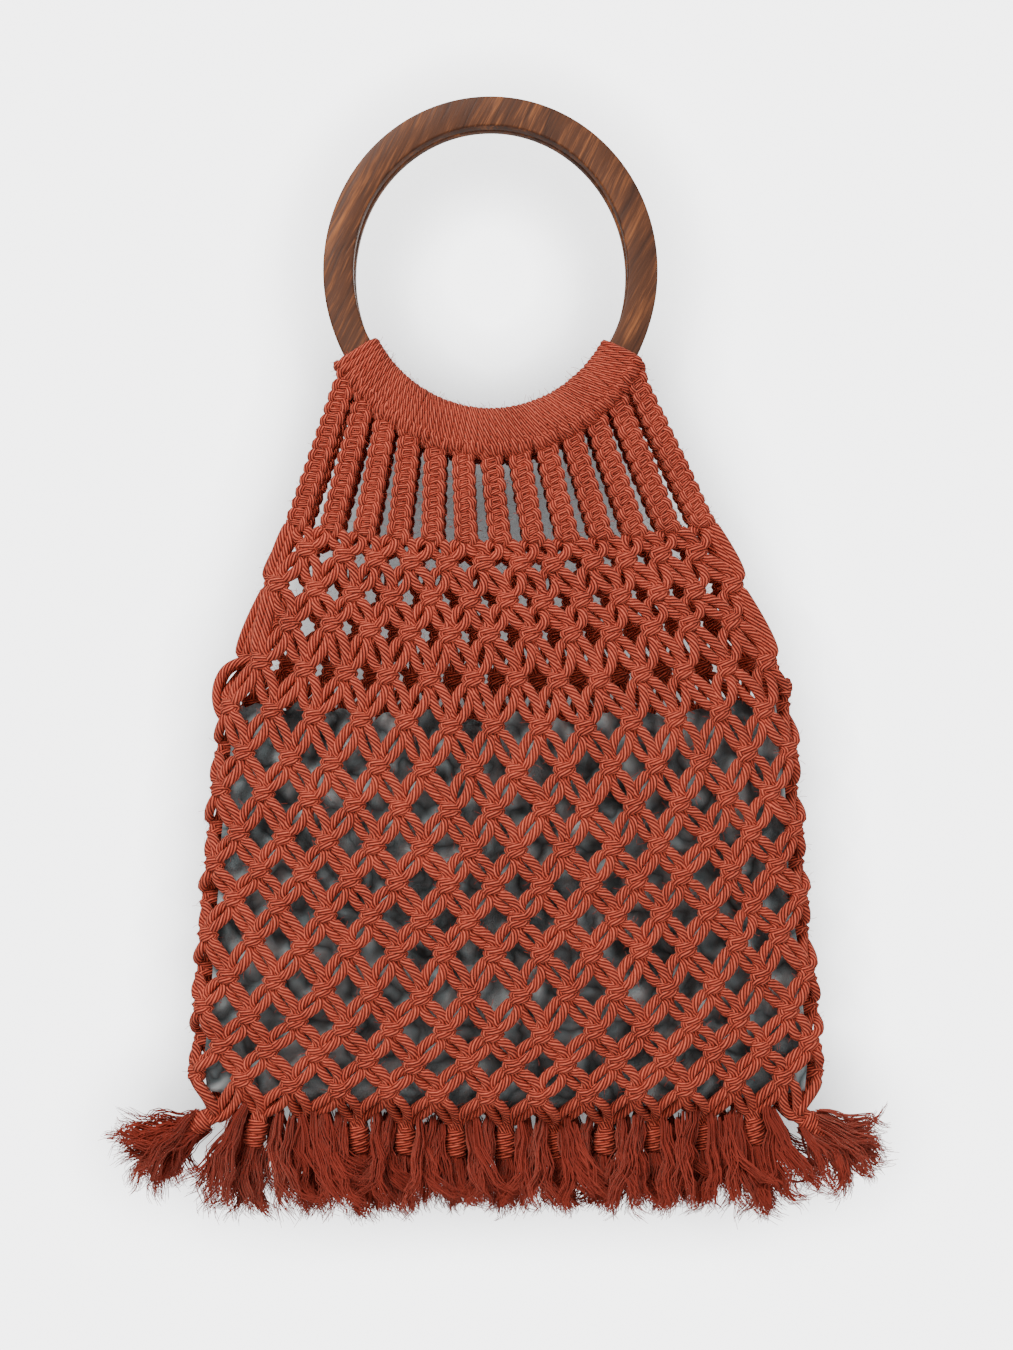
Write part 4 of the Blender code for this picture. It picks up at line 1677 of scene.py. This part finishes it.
@dataclass
class FringeBarrels:
    """The wrapped knots along the hem, each round the ends of eight cords."""

    form: BodyForm = FORM
    barrel_length: float = 0.0160
    coil_radius: float = 0.0036
    cord_radius: float = 0.00205
    turns: float = 4.1
    turn_points: int = 14
    lean_drop: float = 0.0038
    core_radius: float = 0.0021
    core_places: tuple = ((-0.0016, -0.0008), (0.0016, 0.0008))
    core_heights: tuple = (-0.002, -0.009, -0.0165)
    entry_apart: float = 0.0014
    entry_depth: float = 0.0015
    entry_heights: tuple = (0.0015, -0.003, -0.0065)
    seed: int = 71

    def place(self, index: int) -> tuple[np.ndarray, np.ndarray]:
        """Where a barrel hangs.

        Args:
            index: Its number from the left.

        Returns:
            Its top, and its axes as columns: rightwards, backwards and up.
        """
        tassel = TASSELS[index]
        lean = math.radians(tassel.lean)
        drop = self.form.gap + self.lean_drop * abs(math.sin(lean))
        x = float(self.form.sideways(tassel.across, 1.0))
        z = float(self.form.height(tassel.across, 1.0)) - drop
        return np.array([x, 0.0, z]), np.array(Euler((0.0, -lean, 0.0)).to_matrix())

    def entry(self, slot: int) -> tuple[np.ndarray, np.ndarray]:
        """Where a net cord goes into its barrel.

        Args:
            slot: The cord's number round the bag.

        Returns:
            Its last points and the way down.
        """
        column = slot // 4
        front = column < self.form.strips
        top, axes = self.place(column if front else 2 * self.form.strips - 1 - column)
        x = (slot % 4 - 1.5) * self.entry_apart * (1 if front else -1)
        y = self.entry_depth * (-1 if front else 1)
        local = np.array([[x, y, z] for z in self.entry_heights])
        return top + local @ axes.T, -axes[:, 2]

    def build(self, shop: YarnShop) -> None:
        """Makes all barrels as one piece.

        Args:
            shop: What cords are made with.
        """
        rng = np.random.default_rng(self.seed)
        work = CordWork("fringe_barrels")
        for index in range(len(TASSELS)):
            top, axes = self.place(index)
            turn = np.linspace(0, self.turns, round(self.turns * self.turn_points))
            around = FULL_TURN * (turn + rng.uniform(0, 1))
            share = turn / self.turns
            tuck = np.clip(np.minimum(share, 1 - share) * 9, 0, 1) ** 0.5
            reach = self.coil_radius * (0.30 + 0.55 * tuck + 0.15 * np.sin(math.pi * share))
            fall = -self.cord_radius - share * (self.barrel_length - 2 * self.cord_radius)
            coil = np.stack([reach * np.cos(around), reach * np.sin(around), fall], 1)
            work.lay(top + coil @ axes.T, self.cord_radius, shop.twist(rng))
            for x, y in self.core_places:
                core = np.array([[x, y, z] for z in self.core_heights])
                work.lay(top + core @ axes.T, self.core_radius, shop.twist(rng))
        shop.make(work)


@dataclass
class BrushedFringe:
    """The brushed-out ends below the barrels: locks of fine, wavy strands."""

    barrels: FringeBarrels
    locks: int = 44
    inner_locks: int = 18
    lock_points: int = 10
    lock_length: float = 0.034
    long_lock: float = 0.0445
    beside: float = 0.0105
    root: float = 0.0125
    rim: float = 0.0028
    rim_turn: float = 2.39996
    strands: int = 20
    lock_width: float = 0.0028
    strand_radius: float = 0.00027
    frizz: float = 0.0015
    frizz_scale: float = 380.0
    steep_lean: float = 30.0
    steep_fan: float = math.radians(52.0)
    fan: float = math.radians(16.0)
    fan_jitter: float = math.radians(11.0)
    curl_share: float = 1.8
    hook_jitter: float = math.radians(42.0)
    lean_out: float = math.radians(17.0)
    wave_length: float = 0.017
    seed: int = 97
    groups: tuple = (
        ("left", 0, 3), ("left_middle", 3, 6), ("middle", 6, 8), ("right_middle", 8, 10), ("right", 10, 13),
    )

    def tree(self) -> PieceTree:
        """Builds the tree that turns each lock's centre line into a bunch of strands.

        Returns:
            The tree.
        """
        tree = PieceTree("brushed_strands", {
            "Strands": 20,
            "Lock width": 0.002,
            "Strand radius": 0.0003,
            "Frizz": 0.001,
            "Yarn": None,
        })
        given = tree.given
        index = tree.add("GeometryNodeInputIndex")
        down = tree.down().outputs["Factor"]
        curve = tree.make("MeshToCurve", {0: given["Geometry"]})
        lock = tree.capture(curve, "CURVE", tint=("FLOAT", tree.random(self.seed + 2, index=index)))
        copies = {"Geometry": lock["Geometry"], "Amount": given["Strands"]}
        many = tree.make("DuplicateElements", copies, domain="SPLINE")
        aside = tree.random(self.seed, (-1.0, -1.0, -1.0), (1.0, 1.0, 1.0), index)
        own = tree.times(tree.random(self.seed + 1, index=index), 0.35)
        tint = tree.weighted(lock["tint"], 0.65, own)
        strand = tree.capture(many, "CURVE", offset=("VECTOR", aside), tint=("FLOAT", tint))
        fuller = tree.span(down, 0.0, 0.45, 0.45, 1.0)
        taper = tree.span(down, 0.5, 1.0, 1.0, 0.78)
        spread = tree.times(given["Lock width"], tree.times(fuller, taper))
        apart = tree.scaled(strand["offset"], spread)
        seek = tree.vector("ADD", tree.scaled(tree.position(), self.frizz_scale), strand["offset"])
        noise = tree.add("ShaderNodeTexNoise", {"Vector": seek, "Scale": 1.0, "Detail": 1.0})
        wander = tree.vector("SUBTRACT", noise.outputs["Color"], (0.5, 0.5, 0.5))
        stray = tree.scaled(wander, tree.times(given["Frizz"], tree.times(down, 4.0)))
        shift = {"Geometry": strand["Geometry"], "Offset": tree.vector("ADD", apart, stray)}
        fall = tree.capture(tree.make("SetPosition", shift), "POINT", down=("FLOAT", down))
        kept = tree.random(self.seed + 3, 0.76, 1.0, index)
        cut = tree.make("TrimCurve", {"Curve": fall["Geometry"], "End": kept}, mode="FACTOR")
        thin = tree.times(given["Strand radius"], tree.span(down, 0.6, 1.0, 1.0, 0.35))
        tube = tree.tube(cut, tree.circle(3), thin)
        for name, value in (("down", fall["down"]), ("tint", strand["tint"])):
            tube = tree.store(tube, name, value)
        tree.close(tube, "Yarn")
        return tree

    def start(self, tassel: Tassel, rng: np.random.Generator, number: int) -> tuple[np.ndarray, float]:
        """Where a lock comes out, and how long it is.

        Args:
            tassel: The bundle that it belongs to.
            rng: The random numbers.
            number: Its number. The first ones come out of the barrel, the others out beside it.

        Returns:
            The root in its barrel's frame, and the length.
        """
        if number < self.inner_locks:
            around = self.rim_turn * number
            rim = self.rim * math.sqrt((number + 0.5) / self.inner_locks)
            root = np.array([rim * math.cos(around), rim * math.sin(around), -self.root])
            return root, self.lock_length * tassel.length * rng.uniform(0.86, 1.0)
        if abs(tassel.lean) > self.steep_lean:
            root = np.array([
                rng.uniform(-0.006, 0.006), rng.uniform(-0.0045, 0.0045), -rng.uniform(0.003, 0.011)
            ])
            return root, self.long_lock * tassel.length * rng.uniform(0.72, 0.98) + root[2]
        face = -1 if number % 2 else 1
        over = face < 0 and tassel.covers_barrel
        off = rng.uniform(0.52 if face < 0 and not over else 0.1, 1.0) * rng.choice((-1, 1))
        deep = rng.uniform(0.0048, 0.0066) if over else rng.uniform(0.0010, 0.0048)
        root = np.array([self.beside * off, face * deep, rng.uniform(-0.003, 0.006)])
        return root, self.long_lock * tassel.length * rng.uniform(0.84, 1.0) + root[2]

    def lock(self, tassel: Tassel, rng: np.random.Generator, number: int) -> np.ndarray:
        """The centre line of one lock, in its barrel's frame.

        Args:
            tassel: The bundle that it belongs to.
            rng: The random numbers.
            number: Its number.

        Returns:
            The lock's points, from root to tip.
        """
        root, length = self.start(tassel, rng, number)
        if abs(tassel.lean) > self.steep_lean:
            fan = rng.uniform(-1, 1) * self.steep_fan * tassel.spread
        else:
            fan = self.fan * tassel.spread * np.clip(root[0] / 0.004, -1, 1)
            fan += rng.normal(0, self.fan_jitter * tassel.spread)
        hook = math.radians(self.curl_share * tassel.curl) + rng.normal(0, self.hook_jitter)
        lean_out = self.lean_out * np.clip(root[1] / 0.003, -1, 1) + rng.normal(0, 0.10)
        t = np.linspace(0, 1, self.lock_points)
        turn = fan * (0.45 + 0.55 * t) + hook * t**1.7
        step = length / (self.lock_points - 1)
        x = root[0] + np.concatenate([[0.0], np.cumsum(np.sin(turn[:-1]) * step)])
        z = root[2] - np.concatenate([[0.0], np.cumsum(np.cos(turn[:-1]) * step)])
        y = root[1] + length * np.sin(lean_out) * np.sin(t * math.pi * 0.62)
        wave, start = rng.uniform(0.0010, 0.0026), rng.uniform(0, 6.28)
        phase = start + FULL_TURN * t * length / self.wave_length
        x += wave * np.sqrt(t) * np.cos(phase)
        y += wave * np.sqrt(t) * np.sin(phase)
        return np.stack([x, y, z], 1)

    def build(self, finish: BrushedFinish) -> None:
        """Makes the fringe in five clusters, from left to right.

        Args:
            finish: The brushed yarn's finish.
        """
        rng = np.random.default_rng(self.seed)
        tree = self.tree()
        values = {
            "Strands": self.strands,
            "Lock width": self.lock_width,
            "Strand radius": self.strand_radius,
            "Frizz": self.frizz,
            "Yarn": finish.material(),
        }
        for word, first, after in self.groups:
            work = CordWork(f"fringe_{word}")
            for index in range(first, after):
                top, axes = self.barrels.place(index)
                for number in range(self.locks):
                    lock = self.lock(TASSELS[index], rng, number)
                    work.lay(top + lock @ axes.T, self.strand_radius)
            nodes = [f"tassel_{k + 1:02d}" for k in range(first, after)]
            settle(tree.run(work.lines(), values), nodes)


@dataclass
class YarnFuzz:
    """The fine loose fibres that stand out from the cords."""

    wrap_fibres: int = 1800
    strip_fibres: int = 1600
    net_fibres: int = 5200
    fibre_length: float = 0.0042
    fibre_radius: float = 0.000085
    fibre_points: int = 4
    lean: float = math.radians(62.0)
    bend: float = 0.5
    seed: int = 131

    def tree(self) -> PieceTree:
        """Builds the tree that sows bent fibres over a surface.

        Returns:
            The tree.
        """
        tree = PieceTree("yarn_fuzz", {
            "Density": 20000.0,
            "Length": 0.003,
            "Radius": 0.00006,
            "Bend": 0.5,
            "Yarn": None,
        })
        given = tree.given
        surface = {"Mesh": given["Geometry"], "Density": given["Density"], "Seed": self.seed}
        sown = tree.make("DistributePointsOnFaces", surface).outputs
        line = tree.make("CurvePrimitiveLine", {"Start": (0.0, 0.0, 0.0), "End": (0.0, 0.0, 1.0)})
        fibre = tree.make("ResampleCurve", {"Curve": line, "Count": self.fibre_points})
        down = tree.down().outputs["Factor"]
        aside = tree.times(tree.times(down, down), given["Bend"])
        bent = tree.make("SetPosition", {"Geometry": fibre, "Offset": tree.join(aside, 0.0, 0.0)})
        standing = tree.make("InstanceOnPoints", {
            "Points": sown["Points"],
            "Instance": bent,
            "Rotation": sown["Rotation"],
            "Scale": tree.times(tree.random(self.seed + 1, 0.35, 1.0), given["Length"]),
        })
        most = (self.lean, self.lean, math.pi)
        turns = tree.random(self.seed + 2, tuple(-angle for angle in most), most)
        facing = {"Instances": standing, "Rotation": turns, "Local Space": True}
        real = tree.make("RealizeInstances", {"Geometry": tree.make("RotateInstances", facing)})
        tree.close(tree.tube(real, tree.circle(3), given["Radius"], caps=False), "Yarn", smooth=False)
        return tree

    def build(self, fuzzy: Sequence[tuple[Piece, int]], finish: BrushedFinish) -> None:
        """Makes the fibres of several pieces, one piece of fibres for each.

        Args:
            fuzzy: The pieces of cord, with how many fibres each gets.
            finish: The fibres' finish.
        """
        tree, yarn = self.tree(), finish.material()
        for piece, count in fuzzy:
            source = linked(piece.name.replace("cords", "fuzz"), piece.data.copy())
            fuzz = tree.run(source, {
                "Density": count / sum(face.area for face in piece.data.polygons),
                "Length": self.fibre_length,
                "Radius": self.fibre_radius,
                "Bend": self.bend,
                "Yarn": yarn,
            })
            settle(fuzz)


# Studio


@dataclass(frozen=True)
class Studio:
    """The camera, the soft lights, the pale surroundings, the floor and the backdrop."""

    scale: float = 0.000458
    ring_column: float = 490.5
    origin_row: float = 127.0
    image_width: float = 1013.0
    image_height: float = 1350.0
    distance: float = 1.08
    subject_y: float = -0.006
    sensor: float = 36.0
    target: Colour = (0.0, 0.0, -0.25)
    floor_centre: Colour = (0.0, 0.0, -0.92)
    floor_radius: float = 0.95
    backdrop_centre: Colour = (0.0, 0.036, -0.25)
    backdrop_radius: float = 0.62
    rim_points: int = 96
    # the pale world's strength as the camera sees it, and as it lights the bag
    seen: float = 4.6
    lit: float = 0.42
    # each light's name, place, size, power and colour
    lights: tuple = (
        ("key", (-0.7, -1.2, 0.85), 0.7, 26.0, (1.0, 0.98, 0.96)),
        ("fill", (1.2, -1.3, 0.1), 1.1, 7.0, (0.96, 0.98, 1.0)),
        ("rear", (0.4, 1.7, 0.7), 1.2, 13.0, (1.0, 0.99, 0.98)),
    )

    def camera(self) -> None:
        """Makes the camera: level, looking along +Y at the picture's middle."""
        data = bpy.data.cameras.new("camera")
        data.sensor_width = self.sensor
        away = self.distance + self.subject_y
        data.lens = self.sensor * away / (self.image_height * self.scale)
        data.clip_start, data.clip_end = 0.01, 50.0
        camera = linked("camera", data)
        camera.location = (
            (self.image_width / 2 - self.ring_column) * self.scale,
            -self.distance,
            (self.origin_row - self.image_height / 2) * self.scale,
        )
        camera.rotation_euler = (math.pi / 2, 0.0, 0.0)
        bpy.context.scene.camera = camera

    def light(self, name: str, place: Colour, size: float, power: float, colour: Colour) -> None:
        """Makes a square soft light that faces the bag's middle.

        Args:
            name: The light's name.
            place: Where it stands.
            size: The length of its sides.
            power: Its power in watts.
            colour: Its colour.
        """
        data = bpy.data.lights.new(name, "AREA")
        data.size, data.energy, data.color = size, power, colour
        lamp = linked(name, data)
        lamp.location = place
        aim = Vector(self.target) - Vector(place)
        lamp.rotation_euler = aim.to_track_quat("-Z", "Y").to_euler()

    def surroundings(self) -> None:
        """Makes the pale world."""
        world = bpy.data.worlds.new("pale_studio")
        world.use_nodes = True
        bpy.context.scene.world = world
        graph = Graph(world.node_tree)
        bright = graph.add("ShaderNodeBackground", {"Color": (0.99, 0.99, 1.0), "Strength": self.seen})
        soft = graph.add("ShaderNodeBackground", {"Color": (1.0, 0.985, 0.97), "Strength": self.lit})
        ray = graph.add("ShaderNodeLightPath").outputs["Is Camera Ray"]
        mixed = graph.add("ShaderNodeMixShader", {0: ray, 1: soft, 2: bright})
        graph.feed(world.node_tree.nodes["World Output"].inputs["Surface"], mixed)

    def disc(self, name: str, centre: Colour, across: Colour, up: Colour, material: Material) -> Piece:
        """Makes a round flat piece of the studio, which is not attached to the bag.

        Args:
            name: The piece's name.
            centre: Its middle.
            across: Its radius along its first direction.
            up: Its radius along its second direction.
            material: Its material.

        Returns:
            The disc.
        """
        turn = np.linspace(0, FULL_TURN, self.rim_points + 1)[:-1, None]
        rim = np.array(centre) + np.cos(turn) * across + np.sin(turn) * up
        mesh = bpy.data.meshes.new(name)
        mesh.from_pydata(rim, [], [tuple(range(len(rim)))])
        mesh.materials.append(material)
        disc = linked(name, mesh)
        return disc

    def build(self) -> None:
        """Makes the whole studio. The backdrop glows with a painted shadow of the bag and gives no light.
        """
        self.camera()
        self.surroundings()
        for light in self.lights:
            self.light(*light)
        wide, far = (self.floor_radius, 0.0, 0.0), (0.0, self.floor_radius, 0.0)
        self.disc("floor", self.floor_centre, wide, far, FloorFinish("pale_floor").material())
        wide, high = (self.backdrop_radius, 0.0, 0.0), (0.0, 0.0, self.backdrop_radius)
        # the backdrop's glow carries a painted shadow of the bag
        pale = BackdropFinish("pale_wall_painted_shadow").material(self.backdrop_centre)
        wall = self.disc("wall", self.backdrop_centre, wide, high, pale)
        wall.visible_diffuse = wall.visible_glossy = wall.visible_shadow = False


def main() -> None:
    """Builds the bag from its handles down to its fringe, and the studio round it."""
    logging.basicConfig(level=logging.INFO, format="%(name)s: %(message)s")
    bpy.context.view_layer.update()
    shop = YarnShop(YarnFinish("rust_yarn"))
    rings = RingHandle.tree()
    fuzz = YarnFuzz()
    fuzzy = []
    for side, shift in ((Side.FRONT, 0.0), (Side.BACK, 0.31)):
        RingHandle(side, WoodFinish(f"stained_wood_{side.word}", shift=shift)).build(rings)
        fuzzy.append((RingWrap(side).build(shop), fuzz.wrap_fibres))
        fuzzy.append((KnotStrips(side).build(shop), fuzz.strip_fibres))
    barrels = FringeBarrels()
    net = KnottedNet()
    for side in Side:
        fuzzy.append((net.build(side, barrels, shop), fuzz.net_fibres))
        PouchSide(side).build(LiningFinish(f"grey_cloth_{side.word}"))
    trim = SideTrim()
    trim.loop(shop)
    trim.knot(shop)
    barrels.build(shop)
    BrushedFringe(barrels).build(BrushedFinish("brushed_yarn"))
    fuzz.build(fuzzy, BrushedFinish("loose_fibres", root=(0.62, 0.085, 0.050)))
    Studio().build()


if __name__ == "__main__":
    main()
